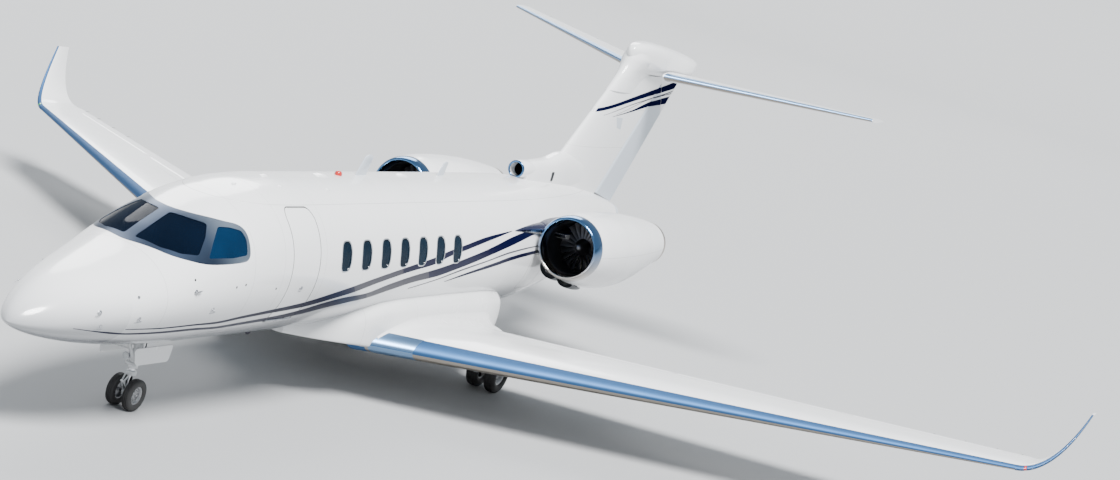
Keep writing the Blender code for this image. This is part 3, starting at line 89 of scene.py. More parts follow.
# %% Wires and finishes
class Wire:
    """A socket that can be added, multiplied and compared."""

    def __init__(self, finish, socket):
        self.finish = finish
        self.socket = socket

    def math(self, operation, *values):
        return self.finish.node("ShaderNodeMath", {"operation": operation}, dict(enumerate(values)))

    def __add__(self, other):
        return self.math("ADD", self, other)

    def __sub__(self, other):
        return self.math("SUBTRACT", self, other)

    def __rsub__(self, other):
        return self.math("SUBTRACT", other, self)

    def __mul__(self, other):
        return self.math("MULTIPLY", self, other)

    def __truediv__(self, other):
        return self.math("DIVIDE", self, other)

    def __abs__(self):
        return self.math("ABSOLUTE", self)

    def __lt__(self, other):
        return self.math("LESS_THAN", self, other)

    def __gt__(self, other):
        return self.math("GREATER_THAN", self, other)

    __radd__ = __add__
    __rmul__ = __mul__

    def largest(self, other):
        return self.math("MAXIMUM", self, other)

    def smallest(self, other):
        return self.math("MINIMUM", self, other)

    def clamped(self):
        """Held between nothing and one."""
        return self.largest(0.0).smallest(1.0)

    def eased(self):
        """A share with a soft start and end: its square times three less twice itself."""
        return self * self * (3 - 2 * self)

    def near(self, place, half):
        """One on the place, falling evenly to nothing at half its width away."""
        return (1 - abs(self - place) / half).largest(0.0)


class Finish:
    """A material being written: constants sit on the shader, wires feed what varies."""

    def __init__(self, name, colour, roughness, metallic=0.0, **constants):
        self.material = bpy.data.materials.new(name)
        self.material.use_nodes = True
        self.tree = self.material.node_tree
        self.shader = self.tree.nodes["Principled BSDF"]
        self.colour = (*colour, 1.0)
        self.set("Base Color", self.colour)
        self.set("Roughness", roughness)
        self.set("Metallic", metallic)
        for socket, value in constants.items():
            self.set(socket.replace("_", " "), value)
        self.places = None

    def set(self, socket, value):
        if isinstance(value, Wire):
            self.tree.links.new(value.socket, self.shader.inputs[socket])
        else:
            self.shader.inputs[socket].default_value = value
        return self

    def node(self, kind, settings, sockets, out=0):
        """Any node: its type, its settings, the values or wires of its sockets, and which output."""
        made = self.tree.nodes.new(kind)
        for key, value in settings.items():
            if key == "stops":
                ramp = made.color_ramp
                while len(ramp.elements) < len(value):
                    ramp.elements.new(0.5)
                for element, (position, shade) in zip(ramp.elements, value):
                    element.position = position
                    element.color = shade
            else:
                setattr(made, key, value)
        for key, value in sockets.items():
            if isinstance(value, Wire):
                self.tree.links.new(value.socket, made.inputs[key])
            else:
                made.inputs[key].default_value = value
        return Wire(self, made.outputs[out])

    def where(self):
        """Object coordinates as one wire for textures and three for sums."""
        if self.places is None:
            spot = self.node("ShaderNodeTexCoord", {}, {}, "Object")
            split = [self.node("ShaderNodeSeparateXYZ", {}, {0: spot}, axis) for axis in range(3)]
            self.places = (spot, *split)
        return self.places

    def stretched(self, scale):
        return self.node("ShaderNodeMapping", {}, {0: self.where()[0], 3: scale})

    def noise(self, scale, detail=3.0, place=None):
        return self.node("ShaderNodeTexNoise", {}, {0: place or self.where()[0], "Scale": scale, "Detail": detail})

    def mix(self, factor, first, second):
        return self.node("ShaderNodeMix", {"data_type": "RGBA"}, {0: factor, 6: first, 7: second}, 2)

    def bump(self, height, distance):
        made = self.node("ShaderNodeBump", {}, {"Height": height, "Distance": distance, "Strength": 1.0})
        return self.set("Normal", made)


def shaded(colour, share):
    """A colour made darker or lighter by a share."""
    return (*[value * share for value in colour[:3]], 1.0)


print("wires and finishes ready")

# %% [markdown]
# ## Paint, metal and glass
# Aircraft paint is a thick gloss coat over filler, so its tone hardly changes, but it is never one
# flat colour: it holds a little dust, and shows thin dark seams where skin panels meet. The seams are
# lines at fixed places along the aircraft, so they are written straight from the Object coordinates.

# %% Paint
WHITE = (0.80, 0.805, 0.81)
NAVY = (0.0022, 0.0030, 0.022)
GREY = (0.045, 0.044, 0.058)
# Painted shade: the rudder's blue-grey stands for the shade and sky reflection on its surface.
RUDDER_SHADE_TONE = (0.50, 0.55, 0.61)
UNDER_SHADE_GREY = (0.115, 0.125, 0.145, 1.0)
SEAM = 0.0035


def station(value):
    """Stations count from the nose, the frame counts from its middle."""
    return value - MIDDLE


def painted(name, colour, roughness=0.20, rings=(), levels=(), spread=0.05, coat=0.5, mirror=0.48, low=None):
    """Gloss paint with seams at set stations and heights; low paints shade underneath: height, half, share."""
    made = Finish(name, colour, roughness, 0.0, Coat_Weight=coat, Coat_Roughness=0.06,
                  Specular_IOR_Level=mirror)
    dust = made.noise(1.3, 5.0) * spread
    tone = made.mix(dust, made.colour, shaded(colour, 0.55))
    places = made.where()
    # Painted shade: below the given height the colour turns grey towards the bottom.
    if low:
        height, half, share = low
        depth = ((height - places[3]) / (2 * half) + 0.5).clamped()
        tone = made.mix(depth.eased() * share, tone, UNDER_SHADE_GREY)
    seam = None
    for place, spots in ((places[2], [station(s) for s in rings]), (places[3], levels)):
        for spot in spots:
            line = place.near(spot, SEAM)
            seam = line if seam is None else seam.largest(line)
    peel = made.noise(55.0, 2.0) * 0.06
    if seam is None:
        made.set("Base Color", tone)
        made.bump(peel, 0.002)
    else:
        made.set("Base Color", made.mix(seam * 0.55, tone, shaded(colour, 0.25)))
        made.bump(peel - seam, 0.002)
    made.set("Roughness", made.noise(3.0, 4.0) * 0.10 + (roughness - 0.05))
    return made.material


BODY_SEAMS = (2.02, 3.72, 4.45, 5.62, 8.90, 13.40, 15.30, 17.6)
# Painted shade greys the lower body and the radome's lower side.
body_white = painted("body_white", WHITE, 0.18, BODY_SEAMS, (3.02,), low=(1.50, 0.50, 0.72))
radome_white = painted("radome_white", WHITE, low=(1.52, 0.50, 0.90))
wing_white = painted("wing_white", (0.79, 0.795, 0.80), 0.22, (16.2,))
fin_white = painted("fin_white", WHITE, levels=(3.85, 4.6))
plain_white = painted("plain_white", WHITE)
# Blue-grey painted shade for the rudder, the crown aerials, the tail cap and a panel on the fin.
shade_blue_grey = painted("shade_blue_grey", RUDDER_SHADE_TONE, 0.24, (), (3.9, 4.62))
pod_white = painted("pod_white", WHITE, 0.19, (14.62, 15.95), (2.482,))
# Painted shade: the belly's white is a little greyer than the body's, for the underside out of the light.
belly_shaded_white = painted("belly_shaded_white", (0.74, 0.745, 0.75), 0.26, (7.6, 9.1, 10.9, 12.5))
leg_white = painted("leg_white", (0.66, 0.67, 0.68), 0.28, spread=0.12)
navy_paint = painted("navy_paint", NAVY, 0.30, spread=0.15, coat=0.0, mirror=0.08)
grey_paint = painted("grey_paint", GREY, 0.30, spread=0.08, coat=0.0, mirror=0.08)
fin_navy = painted("fin_navy", NAVY, 0.45, spread=0.15, coat=0.0, mirror=0.0)
fin_grey = painted("fin_grey", GREY, 0.45, spread=0.08, coat=0.0, mirror=0.0)
print("paints:", len(bpy.data.materials), "with white at", WHITE)

# %% [markdown]
# The leading edges are bare polished metal, which is why they look blue in daylight: they mirror the
# sky. In a pale studio there is no sky to mirror, so the metal carries a painted reflection of the sky in
# its blue, and its lower half a painted reflection of the ground in brown. Fine brushing runs along the
# span, and heat and rain leave it slightly uneven.


# %% Metal, glass and rubber
def brushed(name, colour, roughness, grain=(2.0, 60.0, 60.0), depth=0.0004):
    """Polished or brushed metal: stretched noise moves its gloss and its surface a little."""
    made = Finish(name, colour, roughness, 1.0)
    lines = made.noise(6.0, 3.0, made.stretched(grain))
    cloud = made.noise(1.7, 4.0)
    made.set("Roughness", lines * 0.08 + cloud * 0.08 + (roughness - 0.08))
    made.set("Base Color", made.mix(cloud * 0.35, made.colour, shaded(colour, 0.72)))
    made.bump(lines, depth)
    return made.material


def reflection_by_height(name, above, below, height, half, roughness):
    """Painted reflection: metal from a ground tint below to a sky tint above over a height, as a curved lip mirrors
    both.
    """
    made = Finish(name, above, roughness, 1.0)
    up = ((made.where()[3] - height) / (2 * half) + 0.5).clamped()
    made.set("Base Color", made.mix(up, (*below, 1.0), made.colour))
    made.set("Roughness", made.noise(2.0, 4.0) * 0.06 + (roughness - 0.03))
    return made.material


def reflection_along(name, dark, light, start, stop, roughness):
    """Painted reflection: metal from dark in front to bright behind, as a curved frame mirrors ground, then sky."""
    made = Finish(name, light, roughness, 1.0)
    back = ((made.where()[2] - start) / (stop - start)).clamped()
    cloud = made.noise(2.4, 4.0)
    tone = made.mix(back.eased(), (*dark, 1.0), made.colour)
    made.set("Base Color", made.mix(cloud * 0.3, tone, (*dark, 1.0)))
    made.set("Roughness", cloud * 0.08 + (roughness - 0.04))
    return made.material


def glazed(name, colour, clear, roughness=0.03):
    """Dark tinted glass: mostly gloss, a little of what lies behind."""
    made = Finish(name, colour, roughness, 0.0, Alpha=clear, Specular_IOR_Level=0.05)
    cloud = made.noise(2.2, 2.0)
    made.set("Base Color", made.mix(cloud, made.colour, shaded(colour, 0.45)))
    made.set("Roughness", cloud * 0.03 + roughness)
    return made.material


def lens(name, colour, clear=0.9):
    """A coloured lamp cover: smooth, a little uneven inside."""
    made = Finish(name, colour, 0.08, 0.0, Alpha=clear, Coat_Weight=0.6, Coat_Roughness=0.03)
    ribs = made.noise(40.0, 1.0)
    made.set("Base Color", made.mix(ribs * 0.4, made.colour, shaded(colour, 0.5)))
    made.set("Roughness", ribs * 0.08 + 0.05)
    return made.material


def rubber(name):
    """Tyre rubber: grey dust in a fine moulded grain."""
    made = Finish(name, (0.020, 0.020, 0.021), 0.70)
    dust = made.noise(7.0, 6.0)
    made.set("Base Color", made.mix(dust * 0.5, made.colour, (0.06, 0.058, 0.055, 1.0)))
    made.set("Roughness", dust * 0.25 + 0.55)
    made.bump(made.noise(180.0, 3.0), 0.0008)
    return made.material


polished = brushed("polished_metal", (0.78, 0.80, 0.83), 0.14)
# Painted reflections: sky blue on the leading edges, ground brown under them, a lighter sky blue on the wing-root
# cuffs and the stabiliser's edges.
sky_reflection_metal = brushed("leading_edge_metal", (0.045, 0.115, 0.25), 0.58)
ground_reflection_metal = brushed("leading_edge_under_metal", (0.30, 0.27, 0.235), 0.34)
cuff_metal = brushed("leading_edge_cuff_metal", (0.16, 0.28, 0.46), 0.36)
# Dark metal: dark of itself on the instrument panel and pedestal, painted shade in the inlet liners, stator vanes,
# spine inlet throat, spine slots and pod scoops.
dark_and_shade_metal = brushed("dark_and_shade_metal", (0.030, 0.033, 0.038), 0.42)
# Painted shade: the fan blades and spinner are darker than bare metal, for the shade deep in the duct.
blade_metal = brushed("blade_metal", (0.17, 0.17, 0.185), 0.42, (60.0, 60.0, 2.0))
hot_metal = brushed("exhaust_metal", (0.42, 0.37, 0.32), 0.32)
steel = brushed("gear_steel", (0.55, 0.56, 0.58), 0.28)
chrome = brushed("strut_chrome", (0.72, 0.73, 0.75), 0.10, (40.0, 40.0, 3.0))
hub_metal = brushed("hub_metal", (0.30, 0.305, 0.315), 0.34, (30.0, 30.0, 30.0))
brake_dark = brushed("brake_dark", (0.07, 0.065, 0.06), 0.5)
# Painted reflection: the inlet lips and the spine inlet's rim are sky blue above and ground brown below.
lip_metal = reflection_by_height("lip_metal", (0.085, 0.19, 0.36), (0.48, 0.45, 0.41), 2.36, 0.26, 0.14)
# Painted reflection on the cockpit surround: the ground dark in front, the sky bright behind.
frame_metal = reflection_along("window_frame_metal", (0.060, 0.085, 0.135), (0.40, 0.47, 0.56),
                           station(2.85), station(3.50), 0.32)
cockpit_glass = glazed("cockpit_glass", (0.002, 0.006, 0.016), 0.78)
# Painted reflection: the side panes are bluer than the windscreen, for the sky they mirror.
sky_tinted_side_glass = glazed("side_window_glass", (0.003, 0.022, 0.060), 0.84)
cabin_glass = glazed("cabin_glass", (0.002, 0.014, 0.030), 0.82)
lamp_red = lens("lamp_red", (0.55, 0.02, 0.015))
lamp_green = lens("lamp_green", (0.01, 0.30, 0.07))
lamp_clear = lens("lamp_clear", (0.75, 0.78, 0.80), 0.75)
tyre_rubber, seal_rubber, hose_black = [rubber(name) for name in ("tyre_rubber", "seal_rubber", "hose_black")]
print("finishes so far:", len(bpy.data.materials))


# %% Leather, carpet and veneer
def leather(name, colour):
    """Soft leather: fine closed grain, broader creases, gloss where it is rubbed."""
    made = Finish(name, colour, 0.5, 0.0, Sheen_Weight=0.15, Sheen_Roughness=0.5)
    grain = made.node("ShaderNodeTexVoronoi", {"feature": "DISTANCE_TO_EDGE"},
                      {0: made.where()[0], "Scale": 220.0})
    crease = made.noise(14.0, 5.0)
    made.set("Base Color", made.mix(crease * 0.5, made.colour, shaded(colour, 0.62)))
    made.set("Roughness", crease * 0.25 + 0.36)
    made.bump(grain * 3 + crease, 0.0012)
    return made.material


def carpet(name, colour):
    """Cut pile: two scales of noise for tufts and wear."""
    made = Finish(name, colour, 0.95)
    tufts = made.noise(320.0, 2.0)
    wear = made.noise(3.0, 4.0)
    made.set("Base Color", made.mix(tufts * 0.6 + wear * 0.3, made.colour, shaded(colour, 0.45)))
    made.bump(tufts, 0.003)
    return made.material


def veneer(name, colour):
    """Dark lacquered wood: grain stretched along the aircraft."""
    made = Finish(name, colour, 0.2, 0.0, Coat_Weight=0.7, Coat_Roughness=0.05)
    grain = made.noise(9.0, 4.0, made.stretched((6.0, 0.6, 6.0)))
    made.set("Base Color", made.mix(grain, made.colour, shaded(colour, 0.35)))
    made.set("Roughness", grain * 0.1 + 0.15)
    return made.material


seat_leather = leather("seat_leather", (0.42, 0.34, 0.25))
cabin_carpet = carpet("cabin_carpet", (0.16, 0.13, 0.11))
cabin_veneer = veneer("cabin_veneer", (0.13, 0.055, 0.025))
print("finishes:", len(bpy.data.materials))

# %% [markdown]
# ## Surfaces from grids
# Nearly every skin here is a grid of points: one direction runs along the aircraft or the span, the
# other around the section. numpy works out all the points at once; the faces are then only counting.

# %% Points, turns and bends
ACROSS, ALONG, UP = np.eye(3)


def at(x, s, z):
    """Points of the frame from places across, stations and heights."""
    x, s, z = np.broadcast_arrays(*[np.asarray(v, float) for v in (x, s, z)])
    return np.stack([x, s - MIDDLE, z], -1)


def turns(count, shift=0.0):
    """Equal steps round a circle, in radians."""
    return 2 * np.pi * (np.arange(count) + shift) / count


def unit(vectors):
    """Each vector divided by its length."""
    return vectors / np.linalg.norm(vectors, axis=-1, keepdims=True)


def spokes(first, second, sides, shift=0.0):
    """Directions round a circle: cosine times the first, plus sine times the second."""
    turn = turns(sides, shift)[:, None]
    return np.cos(turn) * first + np.sin(turn) * second


def boxy(value, power):
    """A sine or cosine to a power below one, its sign kept, so that a round outline turns boxy."""
    return np.sign(value) * np.abs(value) ** power


def bend(t, start, corner, end):
    """A curve that leaves its start towards the corner and comes to its end from the corner."""
    return (1 - t) ** 2 * start + 2 * t * (1 - t) * corner + t * t * end


def mirrored(points, sign):
    """The same points on either side of the aircraft."""
    return np.asarray(points) * np.array([sign, 1.0, 1.0])


print("a nose point lies at", at(0, 0, 1.4).round(3))


# %% Grids into meshes
def quads(rows, columns, loop=False, around=True):
    """Four-sided faces between neighbours; loop joins last row to first, around the columns."""
    r = np.arange(rows if loop else rows - 1)[:, None]
    c = np.arange(columns if around else columns - 1)[None, :]
    r2 = (r + 1) % rows
    c2 = (c + 1) % columns
    corners = [r * columns + c, r * columns + c2, r2 * columns + c2, r2 * columns + c]
    return np.stack(np.broadcast_arrays(*corners), -1).reshape(-1, 4)


def loft(rings, caps=True, loop=False):
    """A skin over rings of points; each end is closed by a fan to its middle."""
    rings = np.asarray(rings, float)
    rows, columns = rings.shape[:2]
    points = rings.reshape(-1, 3)
    faces = [quads(rows, columns, loop)]
    if caps and not loop:
        i = np.arange(columns)
        j = (i + 1) % columns
        last = (rows - 1) * columns
        faces.append(np.stack([i, j, np.full(columns, rows * columns)], -1))
        faces.append(np.stack([last + i, last + j, np.full(columns, rows * columns + 1)], -1))
        points = np.concatenate([points, rings[[0, -1]].mean(1)])
    return points, faces


def raw(name, *parts):
    """One mesh object from any number of (points, faces) parts, doubles merged, faces outwards."""
    points = []
    faces = []
    base = 0
    for spots, sets in parts:
        points.append(spots)
        for group in sets:
            faces.extend((group + base).tolist())
        base += len(spots)
    mesh = bpy.data.meshes.new(name)
    mesh.from_pydata(np.concatenate(points).tolist(), [], faces)
    work = bmesh.new()
    work.from_mesh(mesh)
    bmesh.ops.remove_doubles(work, verts=work.verts, dist=5e-5)
    bmesh.ops.recalc_face_normals(work, faces=work.faces)
    work.to_mesh(mesh)
    work.free()
    obj = bpy.data.objects.new(name, mesh)
    bpy.context.scene.collection.objects.link(obj)
    return obj


def carve(target, tools, operation="DIFFERENCE"):
    """Boolean the tools into the target and keep only the result."""
    for tool in tools:
        modifier = target.modifiers.new("carve", "BOOLEAN")
        modifier.solver = "EXACT"
        modifier.operation = operation
        modifier.object = tool
    graph = bpy.context.evaluated_depsgraph_get()
    mesh = bpy.data.meshes.new_from_object(target.evaluated_get(graph))
    target.modifiers.clear()
    target.data = mesh
    for tool in tools:
        bpy.data.objects.remove(tool)
    return target


def dress(obj, material, body="airframe", stands_for=(), sharp=32.0):
    """Give a mesh its finish and smooth shading, and let it ride on its body."""
    mesh = obj.data
    mesh.materials.clear()
    mesh.materials.append(material)
    mesh.polygons.foreach_set("material_index", np.zeros(len(mesh.polygons), np.int32))
    mesh.shade_smooth()
    mesh.set_sharp_from_angle(angle=math.radians(sharp))
    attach(obj, body)
    if stands_for:
        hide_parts(*stands_for)
    return obj


def lathe(base, axis, ring, profile):
    """Rings of (radius, share of the axis) about a base point."""
    rows = np.array(profile, float)[:, :, None, None]
    return loft(base + rows[:, 1] * axis + rows[:, 0] * ring)


def column(outline, low, high):
    """A closed outline of points drawn out from one offset to another."""
    return loft(np.stack([outline + low, outline + high]))


print("a tube of 3 rings of 8 has", len(quads(3, 8)), "faces")

# %% [markdown]
# ## The body
# The section is two half ellipses that share a width: one reaches up to the crown line, one down to
# the keel line. Three curves along the aircraft give those heights and the width, so any point of the
# skin follows from its station and its angle from the crown.

# %% Body curves
RADIUS = 1.124
AXIS = 2.12
CROWN = [(0, 1.40), (0.03, 1.475), (0.12, 1.575), (0.3, 1.70), (0.6, 1.86), (1.0, 2.03), (1.5, 2.20),
         (2.0, 2.37), (2.5, 2.60), (3.08, 2.85), (3.8, 3.09), (4.6, 3.215), (5.4, 3.244), (12.3, 3.244),
         (13.5, 3.24), (15.0, 3.20), (16.5, 3.11), (17.7, 2.97), (18.6, 2.82), (19.3, 2.68)]
WIDEST = [(0, 1.40), (0.5, 1.47), (1.0, 1.56), (2.0, 1.76), (3.0, 1.95), (4.0, 2.08), (4.8, 2.12),
          (13.0, 2.12), (15.0, 2.17), (17.0, 2.32), (19.3, 2.50)]
TAIL_KEEL = [(12.3, 0.996), (13.5, 1.01), (15.0, 1.17), (16.5, 1.52), (17.7, 1.88), (18.6, 2.15), (19.3, 2.32)]
TAIL_WIDTH = [(12.3, 1.124), (13.2, 1.10), (14.0, 1.04), (15.0, 0.93), (16.0, 0.79), (17.0, 0.62),
              (18.0, 0.43), (18.7, 0.30), (19.3, 0.20)]


def smooth_line(rows):
    """Cubic pieces through the points; each inner slope is the harmonic mean of its neighbours'."""
    places, values = np.array(rows, float).T
    steps = np.diff(places)
    rises = np.diff(values) / steps
    before, after = rises[:-1], rises[1:]
    same = before * after > 0
    near = 2 * steps[1:] + steps[:-1]
    far = steps[1:] + 2 * steps[:-1]
    mean = (near + far) / (near / np.where(same, before, 1.0) + far / np.where(same, after, 1.0))
    slopes = np.concatenate([rises[:1], np.where(same, mean, 0.0), rises[-1:]])

    def value(place):
        place = np.asarray(place, float)
        i = np.clip(np.searchsorted(places, place) - 1, 0, len(steps) - 1)
        t = (place - places[i]) / steps[i]
        start = (1 + 2 * t) * (1 - t) ** 2 * values[i] + t * (1 - t) ** 2 * steps[i] * slopes[i]
        return start + t * t * (3 - 2 * t) * values[i + 1] + t * t * (t - 1) * steps[i] * slopes[i + 1]
    return value


def columns_at(rows, places, *which):
    """Smooth lines through a table's columns over its first one, read at the places."""
    rows = np.array(rows, float)
    return [smooth_line(rows[:, [0, i]])(places) for i in which]


crown, widest, tail_keel, tail_width = [smooth_line(rows) for rows in (CROWN, WIDEST, TAIL_KEEL, TAIL_WIDTH)]


def half_width(s):
    """A blunt taper over the first five metres, then straight, then the tail's curve."""
    nose = RADIUS * (1 - (1 - np.clip(s / 5.0, 0, 1)) ** 2.2) ** 0.6
    return np.where(s < 12.3, nose, tail_width(s))


def keel(s):
    nose = 1.40 - 0.404 * (1 - (1 - np.clip(s / 3.2, 0, 1)) ** 2) ** 0.6
    return np.where(s < 12.3, nose, tail_keel(s))


def skin(s, degrees, inset=0.0):
    """Across: half width times sine. Up: widest height plus crown or keel reach times cosine."""
    s, turn, inset = np.broadcast_arrays(np.asarray(s, float), np.radians(degrees), np.asarray(inset, float))
    middle = widest(s)
    reach = np.where(np.cos(turn) >= 0, crown(s) - middle, middle - keel(s))
    across = np.maximum(half_width(s) - inset, 0.0005) * np.sin(turn)
    up = middle + np.maximum(reach - inset, 0.0005) * np.cos(turn)
    return at(across, s, up)


AROUND = np.arange(160) * 360 / 160


def rings(stations, inset=0.0):
    """Closed sections of the body at many stations."""
    return skin(np.asarray(stations, float)[:, None], AROUND[None, :], inset)


def wall(stations, outer, inner):
    """A length of wall: rings out along one inset and back along the other."""
    return loft(np.concatenate([rings(stations, outer), rings(stations[::-1], inner)]), loop=True)


print("widest section is", round(float(2 * half_width(np.array(8.0))), 3), "m across")

# %% [markdown]
# ## Cabin windows and the door opening
# An opening is cut by a column that stands square to the side. Its outline is a rounded rectangle, or
# for a window a curve between an ellipse and a rectangle: sine and cosine raised to a power below one.

# %% Openings
CABIN = (5.85, 12.1997)
WINDOW_STATIONS = 6.24 + 0.630 * np.arange(7)
WINDOW_HEIGHT = 2.37
WINDOW_SIZE = (0.31, 0.43)
DOOR_STATIONS = (4.68, 5.43)
DOOR_HEIGHTS = (1.42, 2.99)
CABIN_WALL = 0.090


def side_points(s, z, inset=0.0):
    """Points of the port skin at stations and heights: the ellipse solved for its width."""
    s, z, inset = np.broadcast_arrays(*[np.asarray(v, float) for v in (s, z, inset)])
    middle = widest(s)
    reach = np.where(z >= middle, crown(s) - middle, middle - keel(s)) - inset
    across = (half_width(s) - inset) * np.sqrt(np.maximum(1 - ((z - middle) / reach) ** 2, 0))
    return at(across, s, z)


def window_curve(margin, sides=48):
    """Offsets of a window's edge from its middle, along and up."""
    turn = turns(sides, 0.5)
    across = boxy(np.cos(turn), 0.62) * (WINDOW_SIZE[0] / 2 + margin)
    return across, boxy(np.sin(turn), 0.62) * (WINDOW_SIZE[1] / 2 + margin)


def rounded_box(low, high, corner, steps=8):
    """A rectangle with quarter-circle corners, as rows of first and second values."""
    turn = np.radians(np.arange(4)[:, None] * 90 + np.linspace(0, 90, steps)[None, :])
    right, far = high[0] - corner, high[1] - corner
    left, near = low[0] + corner, low[1] + corner
    middle = np.array([[right, far], [left, far], [left, near], [right, near]])
    first = middle[:, :1] + corner * np.cos(turn)
    second = middle[:, 1:] + corner * np.sin(turn)
    return first.ravel(), second.ravel()


def window_tools(margin=0.0):
    """Columns through all the windows of both sides."""
    across, up = window_curve(margin)
    cores = [column(at(0, s + across, WINDOW_HEIGHT + up), sign * 0.8 * ACROSS, sign * 1.4 * ACROSS)
             for _, sign in SIDES for s in WINDOW_STATIONS]
    return raw("window_tools", *cores)


def door_tool(name, margin, corner=0.14):
    """A column through the doorway, made larger by a margin."""
    s, z = rounded_box((DOOR_STATIONS[0] - margin, DOOR_HEIGHTS[0] - margin),
                       (DOOR_STATIONS[1] + margin, DOOR_HEIGHTS[1] + margin), corner)
    return raw(name, column(at(0, s, z), 0.3 * ACROSS, 1.3 * ACROSS))


cabin = carve(raw("cabin_skin", wall(np.linspace(*CABIN, 40), 0.0, CABIN_WALL)), [window_tools()])
dress(cabin, body_white, stands_for=["cabin_fuselage"], sharp=40)
print("cabin skin:", len(cabin.data.polygons), "faces")

# %% [markdown]
# The glass of each window is a slightly crowned plate, set a finger's breadth inside the skin, with a
# slim bright bead round the opening. Both follow the skin, so they are worked out on the same curve.


# %% Window glass and beads
def plates(sign, inset, thick, margin):
    """Plates on the skin: rings shrink to the middle outside, then grow back inside."""
    across, up = window_curve(margin)
    share = np.array([0.0, 0.5, 1.0, 1.0, 0.5, 0.0])[:, None]
    depth = np.repeat([inset, inset + thick], 3)[:, None]
    return [loft(mirrored(side_points(s + share * across, WINDOW_HEIGHT + share * up, depth), sign), loop=True)
            for s in WINDOW_STATIONS]


def beads(sign, profile):
    """Rings round each window: every (margin, inset) of the profile is one closed line."""
    parts = []
    for s in WINDOW_STATIONS:
        lines = []
        for margin, inset in profile:
            across, up = window_curve(margin)
            lines.append(side_points(s + across, WINDOW_HEIGHT + up, inset))
        parts.append(loft(mirrored(np.stack(lines), sign), loop=True))
    return parts


BEAD = [(-0.010, 0.030), (-0.010, 0.003), (-0.006, -0.002), (0.004, -0.003), (0.009, 0.0), (0.009, 0.010)]
for side, sign in SIDES:
    glass = raw("window_glass_" + side, *plates(sign, 0.012, 0.010, -0.002))
    dress(glass, cabin_glass, stands_for=["cabin_windows_" + side])
    bead = raw("window_beads_" + side, *beads(sign, BEAD))
    dress(bead, polished)
print("windows:", 2 * len(WINDOW_STATIONS))

# %% [markdown]
# ## Nose, forward body and cockpit windows
# The cockpit glass sits in one broad metal surround that wraps over the nose. The surround and the
# opening in the body share an upright column; each pane has its own column square to its middle.

# %% Outlines of the cockpit windows
FRAME_EDGE = [(2.05, 0.0), (2.07, 8.0), (2.15, 22.0), (2.30, 41.0), (2.64, 57.5), (2.94, 64.7), (3.45, 70.2),
              (3.60, 69.0), (3.64, 61.0), (3.66, 48.0), (3.56, 40.5), (3.36, 34.0), (3.09, 19.0), (2.99, 8.0),
              (2.97, 0.0)]
MAIN_PANE = [(2.866, 4.5), (2.951, 18.0), (3.10, 30.0), (2.933, 39.3), (2.680, 50.5), (2.44, 42.0),
             (2.26, 27.5), (2.17, 5.0)]
SIDE_PANE = [(3.224, 36.0), (3.40, 40.6), (3.57, 46.5), (3.60, 54.0), (3.55, 65.4), (3.25, 63.6),
             (2.82, 56.5), (3.0, 46.0)]
DOOR_AXIS = (0.890, 1.430)


def rounded(points, radius, steps=6):
    """Each corner of a closed outline becomes a small curve that starts and ends radius away."""
    points = np.asarray(points, float)
    ends = []
    for way in (1, -1):
        edge = np.roll(points, way, 0) - points
        reach = np.minimum(radius, 0.45 * np.linalg.norm(edge, axis=1))[:, None]
        ends.append((points + unit(edge) * reach)[:, None])
    t = np.linspace(0, 1, steps)[None, :, None]
    return bend(t, ends[0], points[:, None], ends[1]).reshape(-1, 3)


def softened(ring, rounds):
    """Corner cutting: every point gives way to two, a quarter of the way along its two edges."""
    for _ in range(rounds):
        after = np.roll(ring, -1, axis=-2)
        pair = np.stack([0.75 * ring + 0.25 * after, 0.25 * ring + 0.75 * after], -2)
        ring = pair.reshape(*ring.shape[:-2], -1, 3)
    return ring


def frame_tool(name, grow):
    """The surround's outline from above, both sides, made larger about its own edge."""
    half = np.insert(np.array(FRAME_EDGE), 2, 0.0, axis=1)
    line = softened(np.concatenate([half, half[-2:0:-1] * [1.0, -1.0, 1.0]]), 4)
    flat = skin(line[:, 0], line[:, 1])[:, :2]
    along = np.roll(flat, -1, 0) - np.roll(flat, 1, 0)
    outward = unit(np.stack([along[:, 1], -along[:, 0]], -1))
    area = np.sum(flat[:, 0] * np.roll(flat[:, 1], -1) - np.roll(flat[:, 0], -1) * flat[:, 1])
    flat = flat + np.sign(area) * outward * grow
    low = np.concatenate([flat, np.zeros((len(flat), 1))], 1)
    return raw(name, column(low, 2.0 * UP, 3.4 * UP))


def pane_tool(name, corners, sign, grow, depth=0.16):
    """A column square to a pane's middle."""
    points = mirrored(skin(*np.array(corners).T), sign)
    middle = points.mean(0)
    quarter = len(points) // 4
    normal = unit(np.cross(points[2 * quarter] - points[0], points[3 * quarter] - points[quarter]))
    points = rounded(points, 0.045)
    points = points + unit(points - middle) * grow
    return raw(name, column(points, -normal * depth, normal * depth))


def door_rod(name, margin, radius):
    """A rod about the door's hinge line, longer than the doorway by a margin at each end."""
    ring = at(DOOR_AXIS[0], 0, DOOR_AXIS[1]) + MIDDLE * ALONG + radius * spokes(ACROSS, UP, 24)
    front, back = station(DOOR_STATIONS[0] - margin), station(DOOR_STATIONS[1] + margin)
    return raw(name, column(ring, front * ALONG, back * ALONG))


print("surround has", len(FRAME_EDGE), "edge points a side")

# %% Forward body
forward_stations = np.concatenate([np.linspace(1.45, 4.4, 46), np.linspace(4.5, 5.8497, 20)])
forward = raw("forward_skin", wall(forward_stations, 0.0, CABIN_WALL))
bay_tool = raw("bay_tool", column(at(*rounded_box((-0.24, 2.55), (0.24, 3.62), 0.03), 0), 0.7 * UP, 1.25 * UP))
carve(forward, [frame_tool("frame_tool", 0.0006), door_tool("doorway_tool", 0.006, 0.146), bay_tool,
                door_rod("hinge_groove", 0.012, 0.030)])
dress(forward, body_white, stands_for=["forward_fuselage"], sharp=40)

